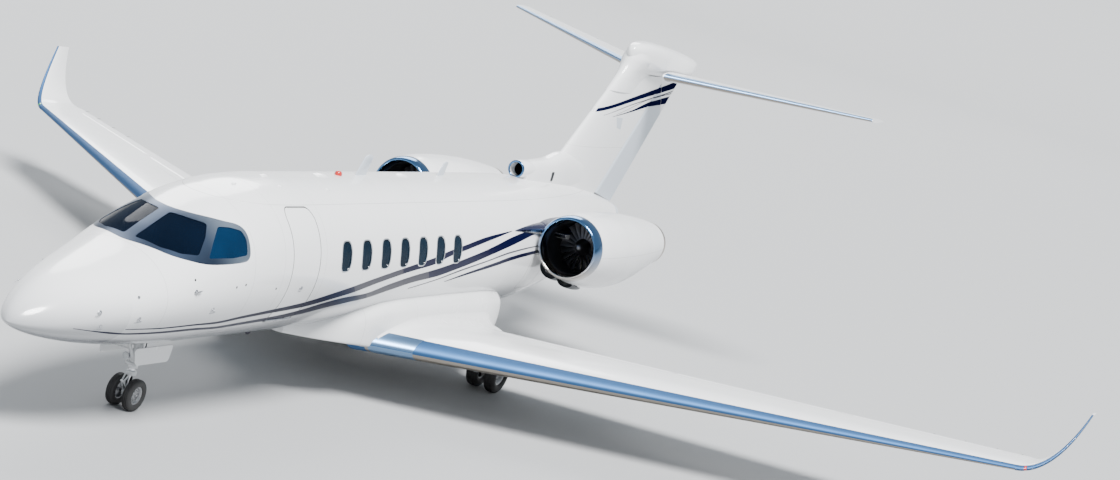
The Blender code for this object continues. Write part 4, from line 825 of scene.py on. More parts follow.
radome_stations = 1.4497 * np.linspace(0, 1, 40) ** 2
dress(raw("nose_cone", loft(rings(radome_stations))), radome_white,
      stands_for=["nose_radome"], sharp=50)

frame_stations = np.linspace(1.95, 3.8, 48)
surround = raw("cockpit_surround", wall(frame_stations, -0.002, 0.055))
carve(surround, [frame_tool("frame_keep", 0.0)], "INTERSECT")
carve(surround, [pane_tool("pane_cut", corners, sign, 0.0006)
                 for corners in (MAIN_PANE, SIDE_PANE) for _, sign in SIDES])
dress(surround, frame_metal, stands_for=["windshield_frame"], sharp=40)
for label, corners, glass in (("windshield", MAIN_PANE, cockpit_glass),
                              ("side_window", SIDE_PANE, sky_tinted_side_glass)):
    for side, sign in SIDES:
        pane = raw("%s_glass_%s" % (label, side), wall(frame_stations, 0.006, 0.024))
        carve(pane, [pane_tool("pane_keep", corners, sign, 0.0)], "INTERSECT")
        dress(pane, glass, stands_for=["%s_%s" % (label, side)], sharp=40)
print("forward skin:", len(forward.data.polygons), "faces")

# %% [markdown]
# ## Airstair door
# The door is a piece of the body's own wall on a low hinge. When it is down its treads are level.

# %% Door
STEP_HEIGHTS = 1.62 + 0.30 * np.arange(4)
STEP_DEPTH = 0.20
DOOR_TURN = math.radians(135.0)

def tread(height, thick=0.028):
    """A flat tray whose depth points along the door's open turn."""
    reach = math.sqrt(RADIUS ** 2 - (height - AXIS) ** 2) - 0.05
    depth = np.array([math.cos(DOOR_TURN), 0, math.sin(DOOR_TURN)]) * STEP_DEPTH
    across = np.array([-depth[2], 0, depth[0]]) / STEP_DEPTH * thick / 2
    start = np.array([reach, 0, height])
    corners = [start - across, start + depth - across, start + depth + across, start + across]
    return column(rounded(corners, 0.008, 4), station(DOOR_STATIONS[0] + 0.10) * ALONG,
                  station(DOOR_STATIONS[1] - 0.10) * ALONG)


door_skin = raw("door_skin", wall(np.linspace(4.5, 5.6, 24), 0.0, CABIN_WALL))
carve(door_skin, [door_tool("door_keep", 0.0)], "INTERSECT")
dress(door_skin, plain_white, "airstair_door", ["airstair_door"], sharp=40)
treads = raw("door_treads", *[tread(height) for height in STEP_HEIGHTS])
dress(treads, grey_paint, "airstair_door")
dress(door_rod("door_knuckle", -0.02, 0.022), steel, "airstair_door")
print("door:", len(STEP_HEIGHTS), "treads")

# %% [markdown]
# ## Tail cone and belly fairing
# The tail is the same skin as the rest. The belly fairing is a broad tray under the wing: its width,
# bottom and shoulder run along the aircraft as smooth lines, and its corners are cut round.

# %% Tail and belly
BELLY = [(6.30, 0.40, 0.975, 1.05), (6.9, 0.76, 0.93, 1.13), (7.5, 1.02, 0.88, 1.25), (8.1, 1.13, 0.80, 1.35),
         (8.8, 1.16, 0.72, 1.38), (10.0, 1.16, 0.66, 1.38), (11.7, 1.16, 0.67, 1.36), (12.4, 1.10, 0.74, 1.32),
         (13.0, 0.82, 0.86, 1.20), (13.6, 0.42, 0.97, 1.08)]
BELLY_SECTION = np.array([(0.0, 0.0, 0), (0.60, 0.01, 0), (0.87, 0.05, 0), (0.97, 0.11, 0), (1.0, 0.20, 0),
                          (1.0, 1.0, 0), (0.93, 1.0, 0.14), (0.80, 1.0, 0.24), (0.55, 1.0, 0.26),
                          (0.0, 1.0, 0.26)])


def belly_rings(stations):
    """Sections of (share of the width, share of the height, rise), both sides, corners cut round."""
    stations = stations[:, None]
    width, bottom, shoulder = columns_at(BELLY, stations, 1, 2, 3)
    out, rise, lift = BELLY_SECTION.T
    port = at(width * out, stations, bottom + (shoulder - bottom) * rise + lift)
    return softened(np.concatenate([port, mirrored(port[:, -2:0:-1], -1.0)], 1), 3)


tail = raw("tail_skin", wall(np.linspace(12.20, 19.30, 72), 0.0, 0.030))
dress(tail, body_white, stands_for=["aft_fuselage"], sharp=50)
belly = dress(raw("belly_tray", loft(belly_rings(np.linspace(6.30, 13.6, 90)))), belly_shaded_white,
              stands_for=["belly_fairing"], sharp=50)
print("belly:", len(belly.data.polygons), "faces")

# %% [markdown]
# ## Wing surfaces
# A wing is stretched between two sections. Its half depth is a well-known round-nosed curve: a square
# root of the chord fraction less a short polynomial. A camber bow lifts the middle of the section.


# %% Panels
def half_depth(f):
    """Half the depth of a section of unit thickness at a chord fraction."""
    f = np.maximum(f, 0.0)
    return 5 * (0.2969 * np.sqrt(f) - 0.1260 * f - 0.3516 * f ** 2 + 0.2843 * f ** 3 - 0.1030 * f ** 4)


class Panel:
    """A surface between two rows of (span, leading, trailing, height, drop)."""

    def __init__(self, root, tip, thickness, camber, place):
        self.root, self.tip = np.array(root, float), np.array(tip, float)
        self.depth = (thickness[0] * (root[2] - root[1]), thickness[1] * (tip[2] - tip[1]))
        self.camber = camber
        self.place = place

    def share(self, span):
        return (np.asarray(span, float) - self.root[0]) / (self.tip[0] - self.root[0])

    def blend(self, span, index):
        return self.root[index] + self.share(span) * (self.tip[index] - self.root[index])

    def chordwise(self, span, fraction):
        return self.blend(span, 1) + fraction * (self.blend(span, 2) - self.blend(span, 1))

    def fraction(self, span, chordwise):
        return (chordwise - self.blend(span, 1)) / (self.blend(span, 2) - self.blend(span, 1))

    def offset(self, span, fraction, side):
        """Height of the top (1), bottom (-1) or middle (0) above the span's plane."""
        chord = self.blend(span, 2) - self.blend(span, 1)
        depth = self.depth[0] + self.share(span) * (self.depth[1] - self.depth[0])
        bow = chord * 4 * self.camber * fraction * (1 - fraction)
        return self.blend(span, 3) + fraction * self.blend(span, 4) + bow + side * depth * half_depth(fraction)

    def point(self, span, fraction, side, lift=0.0):
        return self.place(span, self.chordwise(span, fraction), self.offset(span, fraction, side) + side * lift)

    def section(self, span, start, stop, steps=40, lift=0.0):
        """Over the top and back below; points crowd towards a rounded nose."""
        marks = np.linspace(start, stop, steps + 1)
        if start == 0.0:
            marks = (1 - np.cos(np.pi * np.arange(steps + 1) / (2 * steps))) * stop
        over = self.point(span, marks, 1, lift)
        under = self.point(span, marks[::-1], -1, lift)
        return np.concatenate([over, under[:-1] if start == 0.0 else under])


def slab(panel, spans, start, stop, steps=40, lift=0.0):
    return loft(np.stack([panel.section(span, start, stop, steps, lift) for span in spans]))


def aircraft(sign):
    """How a wing's span, chordwise place and height become a point."""
    def place(x, s, z):
        return at(sign * np.asarray(x), s, z)
    return place


class Hinge:
    """The line that a control surface turns about, at a fraction of its panel's chord."""

    def __init__(self, panel, fraction, span_a, span_b):
        self.panel = panel
        self.a = np.array([span_a, panel.chordwise(span_a, fraction)])
        self.b = np.array([span_b, panel.chordwise(span_b, fraction)])
        self.length = float(np.linalg.norm(self.b - self.a))
        self.along = (self.b - self.a) / self.length
        self.aft = np.array([-self.along[1], self.along[0]])
        self.ends = (float(panel.offset(span_a, fraction, 0)), float(panel.offset(span_b, fraction, 0)))

    def flat(self, run, back):
        spot = self.a + self.along * np.asarray(run, float)[..., None] + self.aft * np.asarray(back, float)[..., None]
        return spot[..., 0], spot[..., 1]

    def radius(self, run):
        span, chordwise = self.flat(run, 0)
        fraction = self.panel.fraction(span, chordwise)
        return (self.panel.offset(span, fraction, 1) - self.panel.offset(span, fraction, -1)) / 2

    def height(self, run):
        return self.ends[0] + (self.ends[1] - self.ends[0]) * run / self.length

    def chord(self, run):
        panel = self.panel
        slope = (panel.tip[2] - panel.root[2]) / (panel.tip[0] - panel.root[0])
        span, chordwise = self.flat(run, 0)
        edge = panel.root[2] + slope * (span - panel.root[0])
        return (edge - chordwise) / (self.aft[1] - slope * self.aft[0])

    def near(self, run, back, up):
        """A point near the hinge: along it, back from it and above its line."""
        span, chordwise = self.flat(run, back)
        return self.panel.place(span, chordwise, self.height(run) + up)

    def section(self, run, steps=14, corners=14):
        """A half-round nose about the hinge, then both skins to a thin edge."""
        nose = self.radius(run) - 0.002
        turn = np.pi * np.arange(1, corners) / corners
        span, chordwise = self.flat(run, -nose * np.sin(turn))
        front = self.panel.place(span, chordwise, self.height(run) - nose * np.cos(turn))
        span, chordwise = self.flat(run, (self.chord(run) - 0.004) * np.linspace(0, 1, steps + 1))
        fraction = np.minimum(self.panel.fraction(span, chordwise), 0.998)
        upper = self.panel.place(span, chordwise, self.panel.offset(span, fraction, 1))
        lower = self.panel.place(span, chordwise, self.panel.offset(span, fraction, -1))
        return np.concatenate([front, upper, lower[::-1]])

    def body(self, run_a=0.0, run_b=None, count=2):
        runs = np.linspace(run_a, self.length if run_b is None else run_b, count)
        return loft(np.stack([self.section(run) for run in runs]))

    def well(self, name, run_a, run_b, gap, reach=3.0):
        """The cutter for the opening ahead of and beside the moving surface."""
        corners = []
        for run, side in ((run_a, -1), (run_b, 1)):
            front = -(self.radius(run) + gap)
            corners.append([self.flat(run + side * gap, back) for back in (front, reach)])
        order = np.array([corners[0][0], corners[0][1], corners[1][1], corners[1][0]])
        levels = [self.height(run_a) - 1.5, self.height(run_a) + 1.5]
        return raw(name, loft(np.stack([self.panel.place(order[:, 0], order[:, 1], z) for z in levels])))


WING_ROOT = (1.05, 7.815, 11.805, 0.935, 0.036)
WING_END = (9.75, 14.19, 15.55, 1.431, 0.036)
WING_START = 0.80
NOSE_SHARE = 0.07
CLEAR = 0.010
wings = {sign: Panel(WING_ROOT, WING_END, (0.125, 0.10), 0.012, aircraft(sign)) for _, sign in SIDES}
print("half span to the winglet:", WING_END[0], "m")

# %% [markdown]
# Flaps, ailerons and spoilers are cut out of the wing by their own outlines, with a narrow slot all
# round. Each flap hangs from two tracks in slender pods under the wing.

# %% Wing with its moving surfaces
FLAPS = (("inboard", 2.15, 4.30), ("outboard", 4.40, 6.85))
FLAP_SHARE = 0.73
FLAP_DROP = 0.105
AILERON = (0.75, 7.05, 9.35)
SPOILER = (0.555, 2.9, 6.3)
SPOILER_CHORD = 0.27
SPOILER_DEPTH = 0.025
POD = [(-0.95, 0.125, 0.004), (-0.90, 0.120, 0.030), (-0.72, 0.095, 0.055), (-0.40, 0.040, 0.085),
       (-0.10, 0.0, 0.080), (0.02, 0.0, 0.060), (0.065, 0.0, 0.025)]


def ball_path(centres, radii, sides=20, flat=1.0, along=ALONG):
    """Round sections about centres that follow each other roughly along one direction."""
    along = unit(np.array(along, float))
    up = unit(UP - along * along[2])
    ring = spokes(flat * np.cross(along, up), up, sides)
    return loft(np.asarray(centres)[:, None] + np.asarray(radii, float)[:, None, None] * ring)


def pivot_drop(hinge, run):
    """How far a flap's pivot lies below the line of its nose."""
    return float(hinge.radius(run)) + FLAP_DROP


def pod(hinge, run):
    """A slender pod about a flap's pivot: height and radius are smooth lines along it."""
    back = np.linspace(POD[0][0], POD[-1][0], 40)
    up, radius = columns_at(POD, back, 1, 2)
    centres = hinge.near(run, back, up - pivot_drop(hinge, run))
    aft = centres[-1] - centres[0]
    aft[2] = 0
    return ball_path(centres, radius, 20, 0.75, aft)


def lug_cutter(hinge, run, along, half=0.012):
    """The slot in a pod that the flap's track swings in."""
    back, up = np.array([(-0.050, -0.20), (0.25, -0.20), (0.25, 0.15), (-0.050, 0.095)]).T
    flat = hinge.near(run, back, up - pivot_drop(hinge, run))
    return raw("slot", column(flat, -along * half, along * half))


def lug(hinge, run, along, half=0.006):
    """The flap's own track: a plate with a round eye about the pivot."""
    turn = np.radians(np.linspace(180, 360, 13))
    back = np.concatenate([0.034 * np.cos(turn), [0.12, -0.020]])
    up = np.concatenate([0.034 * np.sin(turn), [0.15, 0.13]])
    flat = hinge.near(run, back, up - pivot_drop(hinge, run))
    return column(flat, -along * half, along * half)


def spoiler_block(name, panel, hinge, runs, front, back, above, below):
    """From the wing's top skin a little up and a little down, between two chordwise lines."""
    sections = []
    for run in runs:
        span, chordwise = hinge.flat(run, np.linspace(front, back, 8))
        top = panel.offset(span, panel.fraction(span, chordwise), 1)
        over = panel.place(span, chordwise, top + above)
        sections.append(np.concatenate([over, panel.place(span, chordwise, top - below)[::-1]]))
    return raw(name, loft(np.stack(sections)))


def under_film(panel, spans, start=0.0016, stop=0.068, steps=14):
    """The lower half of a leading edge as a thin shell: outside a little proud, inside in the metal."""
    marks = start + (stop - start) * np.linspace(0, 1, steps) ** 2
    out = [panel.point(span, marks, -1, 0.0009) for span in spans]
    back = [panel.point(span, marks[::-1], -1, -0.003) for span in spans]
    return loft(np.concatenate([np.stack(out), np.stack(back)], 1))


for side, sign in SIDES:
    panel = wings[sign]
    spans = (WING_START, WING_END[0])
    tools = []
    for part, low, high in FLAPS:
        hinge = Hinge(panel, FLAP_SHARE, low, high)
        name = "flap_%s_%s" % (part, side)
        along = unit(hinge.near(hinge.length, 0, 0) - hinge.near(0.0, 0, 0))
        runs = (0.18 * hinge.length, 0.82 * hinge.length)
        flap = raw(name + "_skin", hinge.body(), *[lug(hinge, run, along) for run in runs])
        dress(flap, wing_white, name, [name])
        tools.append(hinge.well("well_" + name, 0.0, hinge.length, CLEAR))
        for i, run in enumerate(runs):
            shape = raw("%s_pod_%d" % (name, i), pod(hinge, run))
            dress(carve(shape, [lug_cutter(hinge, run, along)]), plain_white)
    hinge = Hinge(panel, *AILERON)
    aileron = raw("aileron_skin_" + side, hinge.body())
    dress(aileron, wing_white, "aileron_" + side, ["aileron_" + side])
    tools.append(hinge.well("well_aileron", 0.0, hinge.length, CLEAR))
    hinge = Hinge(panel, *SPOILER)
    spoiler = spoiler_block("spoiler_skin_" + side, panel, hinge, (0.0, hinge.length),
                            0.004, SPOILER_CHORD, 0.0, SPOILER_DEPTH)
    dress(spoiler, wing_white, "spoiler_" + side, ["spoiler_" + side])
    tools.append(spoiler_block("spoiler_room", panel, hinge, (-0.008, hinge.length + 0.008),
                               -0.006, SPOILER_CHORD + 0.008, 0.3, SPOILER_DEPTH + 0.008))
    wing = carve(raw("wing_skin_" + side, slab(panel, spans, NOSE_SHARE, 1.0)), tools)
    dress(wing, wing_white, stands_for=["wing_" + side])
    edge = raw("leading_edge_skin_" + side, slab(panel, spans, 0.0, NOSE_SHARE, 24))
    dress(edge, sky_reflection_metal, stands_for=["leading_edge_" + side])
    # Painted reflection of the ground: the lower half of the leading edge is brown.
    below = raw("leading_edge_below_" + side, under_film(panel, np.linspace(1.02, 9.75, 30)))
    dress(below, ground_reflection_metal)
    # The root cuff's lighter blue is a painted reflection of the sky.
    cuff = raw("leading_edge_cuff_" + side, slab(panel, [1.06, 1.56, 1.60, 1.62], 0.0, 0.074, 20, 0.0012))
    dress(cuff, cuff_metal)
print("wing skins:", len(wing.data.polygons), "faces each")

# %% [markdown]
# ## Winglets
# The winglet carries the wing's section round a bend: the middle of the section follows a curve with
# one control point, the chord shrinks along it, and the section always stands square to the curve.

# %% Winglets
WINGLET_CORNER = np.array([10.28, 1.47])
WINGLET_TIP = np.array([10.505, 2.51])
WINGLET_TIP_STATION = 15.33
WINGLET_TIP_CHORD = 0.386


def winglet_section(t, sign, start=0.0, stop=1.0, steps=24, lift=0.0):
    """One section of the winglet at a share of its curve."""
    first = np.array([WING_END[0], WING_END[3] + 0.5 * WING_END[4]])
    spot = bend(t, first, WINGLET_CORNER, WINGLET_TIP)
    tangent = unit((1 - t) * (WINGLET_CORNER - first) + t * (WINGLET_TIP - WINGLET_CORNER))
    normal = np.array([-tangent[1], tangent[0]])
    leading = WING_END[1] + (WINGLET_TIP_STATION - WING_END[1]) * t ** 1.25
    chord = (WING_END[2] - WING_END[1]) * (1 - t) + WINGLET_TIP_CHORD * t
    marks = start + (stop - start) * (1 - np.cos(np.pi * np.arange(steps + 1) / steps)) / 2
    if stop < 1.0:
        marks = stop * (1 - np.cos(np.pi * np.arange(steps + 1) / (2 * steps)))
    f = np.concatenate([marks, marks[::-1][:-1]])
    surface = np.repeat([1.0, -1.0], [steps + 1, steps])
    rise = chord * (0.048 * f * (1 - f) + surface * 0.10 * half_depth(f)) + surface * lift
    rise = rise + (f - 0.5) * WING_END[4] * (1 - t) ** 3
    return at(sign * (spot[0] + normal[0] * rise), leading + f * chord, spot[1] + normal[1] * rise)


def winglet_skin(name, sign, shares, *settings):
    return raw(name, loft(np.stack([winglet_section(t, sign, *settings) for t in shares])))


shares = np.linspace(0, 1, 28)
for side, sign in SIDES:
    dress(winglet_skin("winglet_skin_" + side, sign, shares), plain_white,
          stands_for=["winglet_" + side], sharp=40)
    # The winglet's edge carries the same painted reflection of the sky.
    dress(winglet_skin("winglet_edge_" + side, sign, shares, 0.0, 0.07, 12, 0.0015), sky_reflection_metal)
print("winglet top at", WINGLET_TIP[1], "m")

# %% [markdown]
# ## Painted bands
# Two navy bands sweep from under the nose past the last windows to the engines, with a thin grey line
# and a short navy one below them. Real bands are sprayed between masks. Here each is a film under a
# millimetre proud of the skin, so its edge stays crisp at any distance and it can be cut at the door.

# %% Bands of colour
UPPER_BAND = [(1.463, 109.4, 1.472, 110.5), (2.147, 114.3, 2.169, 116.1), (2.771, 116.6, 2.805, 118.7),
              (3.391, 118.6, 3.449, 121.5), (3.842, 117.1, 3.907, 120.1), (4.656, 114.5, 4.746, 118.2),
              (5.345, 111.2, 5.453, 115.7), (6.126, 105.1, 6.237, 110.2), (6.617, 101.1, 6.754, 106.3),
              (7.326, 95.1, 7.407, 99.9), (8.293, 88.2, 8.350, 92.7), (9.264, 81.8, 9.312, 87.2),
              (9.687, 78.0, 9.714, 82.5), (10.362, 73.5, 10.374, 77.8), (11.077, 68.7, 11.073, 72.7),
              (11.574, 66.5, 11.564, 69.3), (12.187, 64.3, 12.184, 64.9)]
MAIN_BAND = [(0.655, 99.6, 0.659, 101.0), (0.919, 106.9, 0.929, 108.8), (1.262, 112.8, 1.295, 116.8),
             (1.531, 117.0, 1.562, 120.0), (2.229, 120.4, 2.280, 123.8), (2.873, 122.5, 2.943, 126.1),
             (3.542, 125.8, 3.630, 129.5), (4.023, 125.0, 4.120, 128.8), (4.750, 123.2, 4.878, 127.8),
             (5.423, 119.1, 5.567, 124.4), (6.010, 113.7, 6.165, 119.7), (6.553, 110.3, 6.708, 116.5),
             (7.188, 108.4, 7.313, 113.5), (7.845, 101.8, 7.965, 107.5), (8.572, 96.2, 8.679, 101.9),
             (9.371, 91.9, 9.477, 98.4), (9.992, 87.8, 10.076, 93.9), (10.641, 83.0, 10.704, 89.0),
             (11.094, 79.5, 11.139, 85.3), (11.565, 75.3, 11.595, 81.5), (12.217, 69.4, 12.221, 76.4),
             (12.75, 66.2, 12.76, 72.0), (13.10, 65.2, 13.10, 69.4), (13.6, 64.4, 13.6, 67.0)]
HAIR_LINE = [(8.624, 107.2, 8.642, 108.0), (9.526, 100.9, 9.545, 101.8), (10.310, 94.2, 10.332, 95.5),
             (11.177, 88.6, 11.191, 89.7), (12.250, 81.6, 12.260, 82.9), (13.3, 78.9, 13.31, 79.8),
             (14.6, 78.0, 14.6, 78.3)]
LOWER_BAND = [(9.860, 104.0, 9.871, 104.5), (10.399, 99.1, 10.432, 100.8), (11.023, 94.5, 11.067, 97.0),
              (11.685, 90.0, 11.731, 93.1), (12.194, 86.5, 12.236, 89.9), (13.2, 83.2, 13.24, 86.2),
              (14.4, 82.0, 14.42, 84.0), (15.6, 82.6, 15.6, 83.0)]


def band(rows, start=None, stop=None, columns=9, lift=0.0009):
    """A closed film: both edges are smooth lines of station and angle, the inside lies in the skin."""
    rows = np.array(rows, float)
    low = rows[0, 0] if start is None else start
    high = rows[-1, 0] if stop is None else stop
    mark = np.linspace(low, high, max(8, int((high - low) / 0.05)))[:, None]
    first_angle, last_station, last_angle = columns_at(rows, mark, 1, 2, 3)
    share = np.linspace(0, 1, columns)
    s = mark * (1 - share) + last_station * share
    angle = first_angle * (1 - share) + last_angle * share
    return np.concatenate([skin(s, angle, -lift), skin(s[:, ::-1], angle[:, ::-1], 0.002)], 1)


def paint_band(name, material, rows, start=None, stop=None):
    """The film on both sides, cut round the windows; the part on the door rides with the door."""
    for side, sign in SIDES:
        tools = [window_tools(0.008)]
        if side == "port":
            on_door = raw("%s_door" % name, loft(band(rows, start, stop)))
            carve(on_door, [door_tool("door_mask", 0.0)], "INTERSECT")
            if len(on_door.data.vertices):
                dress(on_door, material, "airstair_door")
            else:
                bpy.data.objects.remove(on_door)
            tools.append(door_tool("doorway_mask", 0.006, 0.146))
        film = raw("%s_%s" % (name, side), loft(mirrored(band(rows, start, stop), sign)))
        dress(carve(film, tools), material)


for label, material, rows, start, stop in (
        ("upper_front", navy_paint, UPPER_BAND, None, 6.70), ("upper_middle", grey_paint, UPPER_BAND, 6.70, 8.15),
        ("upper_rear", navy_paint, UPPER_BAND, 8.15, None), ("main_front", navy_paint, MAIN_BAND, None, 7.25),
        ("main_middle", grey_paint, MAIN_BAND, 7.25, 9.10), ("main_rear", navy_paint, MAIN_BAND, 9.10, 13.6),
        ("hair_line", grey_paint, HAIR_LINE, None, None), ("lower", navy_paint, LOWER_BAND, None, None)):
    paint_band("band_" + label, material, rows, start, stop)

# %% [markdown]
# ## Small fittings on the skin
# Probes, aerials, ports and lamps all stand square to the skin. So each is worked out in the skin's
# own directions at its place: round the body, along it, and outwards. A turned shape is a list of
# radius and height; a tube is a circle carried along a path.


# %% Fittings
def standing(spot, around, along):
    """A place with its directions round, along and outwards, each one long."""
    around, along = unit(around), unit(along)
    return spot, around, along, unit(np.cross(around, along))


def seat_on(s, degrees, inset=0.0):
    """A place on the skin with its directions."""
    return standing(skin(s, degrees, inset), skin(s, degrees + 0.5) - skin(s, degrees - 0.5),
                    skin(s + 0.01, degrees) - skin(s - 0.01, degrees))


def turned_on(s, degrees, profile, sides=24, stretch=1.0):
    """A turned fitting: rings of (radius, height) about the outward direction, drawn out along."""
    spot, around, along, out = seat_on(s, degrees)
    return lathe(spot, out, spokes(around, stretch * along, sides), profile)


def tube(points, radius, sides=14):
    """A circle carried along a path; its frame is square to the path at every point."""
    points = np.asarray(points, float)
    along = unit(np.gradient(points, axis=0))
    guide = np.eye(3)[np.argmin(np.abs(along).max(0))]
    first = unit(np.cross(along, guide))
    ring = spokes(first[:, None], np.cross(along, first)[:, None], sides)
    radii = np.broadcast_to(np.asarray(radius, float), (len(points),))
    return loft(points[:, None] + radii[:, None, None] * ring)


def bent(points, radius, steps=6):
    """An open path whose inner corners are rounded."""
    points = np.asarray(points, float)
    parts = [points[:1]]
    t = np.linspace(0, 1, steps)[:, None]
    for before, corner, after in zip(points[:-2], points[1:-1], points[2:]):
        start, end = [corner + unit(edge) * min(radius, 0.45 * np.linalg.norm(edge))
                      for edge in (before - corner, after - corner)]
        parts.append(bend(t, start, corner, end))
    parts.append(points[-1:])
    return np.concatenate(parts)


def blade_aerial(start, end, height, rake=0.16, tip_rake=0.05, thick=0.0125, degrees=0.0, levels=12):
    """A swept blade: sections shrink from the root to a rounded tip and stand square to the skin."""
    centre = (start + end) / 2
    spot, around, along, out = seat_on(centre, degrees)
    share = np.linspace(-0.1, 1, levels)
    close = np.sqrt(np.clip(1 - np.clip((share - 0.88) / 0.12, 0, 1) ** 2, 0.02, 1))
    front = start + rake * np.maximum(share, 0) - centre
    back = end + tip_rake * np.maximum(share, 0) - centre
    middle, half = (front + back) / 2, (back - front) / 2 * close
    f = (1 - np.cos(np.pi * np.arange(17) / 16)) / 2
    f = np.concatenate([f, f[::-1][1:-1]])
    side = np.concatenate([np.ones(17), -np.ones(15)]) * half_depth(f) * thick * 2
    place = middle[:, None] + half[:, None] * (2 * f - 1)
    return loft(spot + share[:, None, None] * height * out + place[..., None] * along
                + (close[:, None] * side)[..., None] * around)


def air_probe(s, degrees, reach=0.055, length=0.13):
    """A short foot, then a tube that points forward."""
    spot, around, along, out = seat_on(s, degrees)
    path = bent([spot - 0.01 * out, spot + reach * out, spot + reach * out - length * along], 0.03, 8)
    foot = turned_on(s, degrees, [(0.034, -0.004), (0.034, 0.003), (0.028, 0.006), (0.012, 0.012)])
    return [foot, tube(path, np.linspace(0.009, 0.0055, len(path)), 12)]


def vane(s, degrees):
    """A turned foot with a short teardrop that trails behind it."""
    spot, around, along, out = seat_on(s, degrees)
    foot = turned_on(s, degrees, [(0.036, -0.004), (0.036, 0.003), (0.016, 0.008), (0.014, 0.030), (0.0, 0.032)])
    path = [spot + 0.022 * out, spot + 0.024 * out + 0.05 * along, spot + 0.024 * out + 0.10 * along]
    return [foot, tube(path, [0.007, 0.012, 0.004], 10)]


# %% Fittings in place
PROBES = ((1.02, 100.4), (1.60, 97.2), (2.99, 103.7))
PORTS = ((2.51, 69.5), (3.35, 88.0), (3.55, 88.0), (4.35, 96.0), (13.9, 92.0))
DOMES = ((4.20, 7.5, 0.028, 0.018), (5.19, 1.0, 0.05, 0.022), (5.13, 18.0, 0.028, 0.014),
         (6.38, 22.6, 0.028, 0.014), (6.9, 0.0, 0.10, 0.03), (9.6, 0.0, 0.09, 0.03))
DOME_SHAPE = np.array([(1, 0), (1, 0), (0.85, 0.4), (0.55, 0.8), (0.2, 1), (0, 1)])
PORT_SHAPE = [(0.016, -0.003), (0.016, 0.0008), (0.013, 0.0012), (0.0, 0.0012)]
STUD_SHAPE = [(0.022, -0.003), (0.022, 0.002), (0.012, 0.014), (0.0, 0.016)]
BEACON_SHAPE = [(0.055, -0.004), (0.055, 0.02), (0.047, 0.045), (0.028, 0.062), (0.0, 0.067)]


def dome(s, degrees, width, height):
    """A low lens of a width and a height, drawn out along the aircraft."""
    profile = DOME_SHAPE * [width, height]
    profile[:2, 1] = (-0.004, 0.004)
    return turned_on(s, degrees, profile, 28, 1.8)


probes = []
for sign in (1, -1):
    for s, angle in PROBES:
        probes += air_probe(s, sign * angle)
    probes += air_probe(0.97, sign * 76.8, 0.035, 0.07)
    probes.append(turned_on(1.56, sign * 68.1, STUD_SHAPE))
    probes += vane(2.52, sign * 81.7)
dress(raw("air_probes", *probes), steel)
ports = [turned_on(s, sign * angle, PORT_SHAPE) for sign in (1, -1) for s, angle in PORTS]
dress(raw("static_ports", *ports), dark_and_shade_metal)
domes = [dome(*row) for row in DOMES]
dress(raw("crown_domes", *domes), plain_white)
# The crown aerials carry the blue-grey painted shade.
aerials = [blade_aerial(8.00, 8.36, 0.325, 0.19, 0.10), blade_aerial(10.88, 11.16, 0.235)]
dress(raw("crown_aerials", *aerials), shade_blue_grey)
belly_aerials = [blade_aerial(5.9, 6.1, 0.16, 0.09, 0.03, 0.01, 180.0),
                 blade_aerial(14.1, 14.38, 0.20, 0.10, 0.03, 0.01, 180.0)]
dress(raw("belly_aerials", *belly_aerials), grey_paint)
dress(raw("crown_beacon", turned_on(7.45, 0.0, BEACON_SHAPE, 28, 1.25)), lamp_red)
print("fittings:", len(probes) + len(ports) + len(domes) + len(aerials) + len(belly_aerials))

# %% [markdown]
# The doorway has a dark rubber seal that shows as a thin line round the door, and a sprung handle lies
# flush in its skin. The same dark line runs round the over-wing exit on the other side.


# %% Seals, handle and exit
def resampled(flat, count):
    """The same closed outline with its points an equal distance apart."""
    loop = np.concatenate([flat, flat[:1]])
    place = np.concatenate([[0], np.cumsum(np.linalg.norm(np.diff(loop, axis=0), axis=1))])
    even = np.linspace(0, place[-1], count, endpoint=False)
    return np.stack([np.interp(even, place, loop[:, i]) for i in (0, 1)], -1)


def seal_ring(low, high, corner, profile, sign=1.0, count=160):
    """A bead along a rounded rectangle on the side: each (margin, inset) is one closed line."""
    lines = []
    for margin, inset in profile:
        flat = np.stack(rounded_box((low[0] - margin, low[1] - margin), (high[0] + margin, high[1] + margin),
                                    corner + margin, 10), -1)
        s, z = resampled(flat, count).T
        lines.append(side_points(s, z, inset))
    return loft(mirrored(np.stack(lines), sign), loop=True)


SEAL = [(0.006, 0.020), (0.006, 0.001), (0.008, -0.0008), (0.016, -0.0008), (0.018, 0.001), (0.018, 0.020)]
SEAM_BEAD = [(-0.003, 0.004), (-0.003, -0.0006), (0.003, -0.0006), (0.003, 0.004)]
HANDLE_BEAD = [(-0.008, 0.006), (-0.004, -0.002), (0.004, -0.002), (0.008, 0.004)]
seal = raw("doorway_seal", seal_ring(*zip(DOOR_STATIONS, DOOR_HEIGHTS), 0.14, SEAL))
dress(carve(seal, [door_rod("seal_gap", 0.07, 0.034)]), seal_rubber)
hatch = seal_ring((9.80, 2.06), (10.34, 2.72), 0.13, SEAM_BEAD, -1.0)
dress(raw("overwing_exit_seam", hatch), seal_rubber)
baggage = seal_ring((13.20, 1.52), (13.95, 2.18), 0.07, SEAM_BEAD, 1.0)
dress(raw("baggage_door_seam", baggage), seal_rubber)
handle = seal_ring((5.005, 1.915), (5.105, 1.985), 0.03, HANDLE_BEAD)
grip = turned_on(5.055, 98.2, [(0.020, -0.002), (0.020, 0.002), (0.014, 0.005), (0.0, 0.006)], 24, 2.0)
dress(raw("door_handle", handle, grip), steel, "airstair_door")
print("seals and handle done")

# %% [markdown]
# ## Tail surfaces
# Fin, rudder, stabiliser and elevators are built exactly as the wing is, with the fin's span standing
# up. A long fairing closes the joint on top of the fin, and a spine runs ahead of it with a cooling
# air inlet in its front.

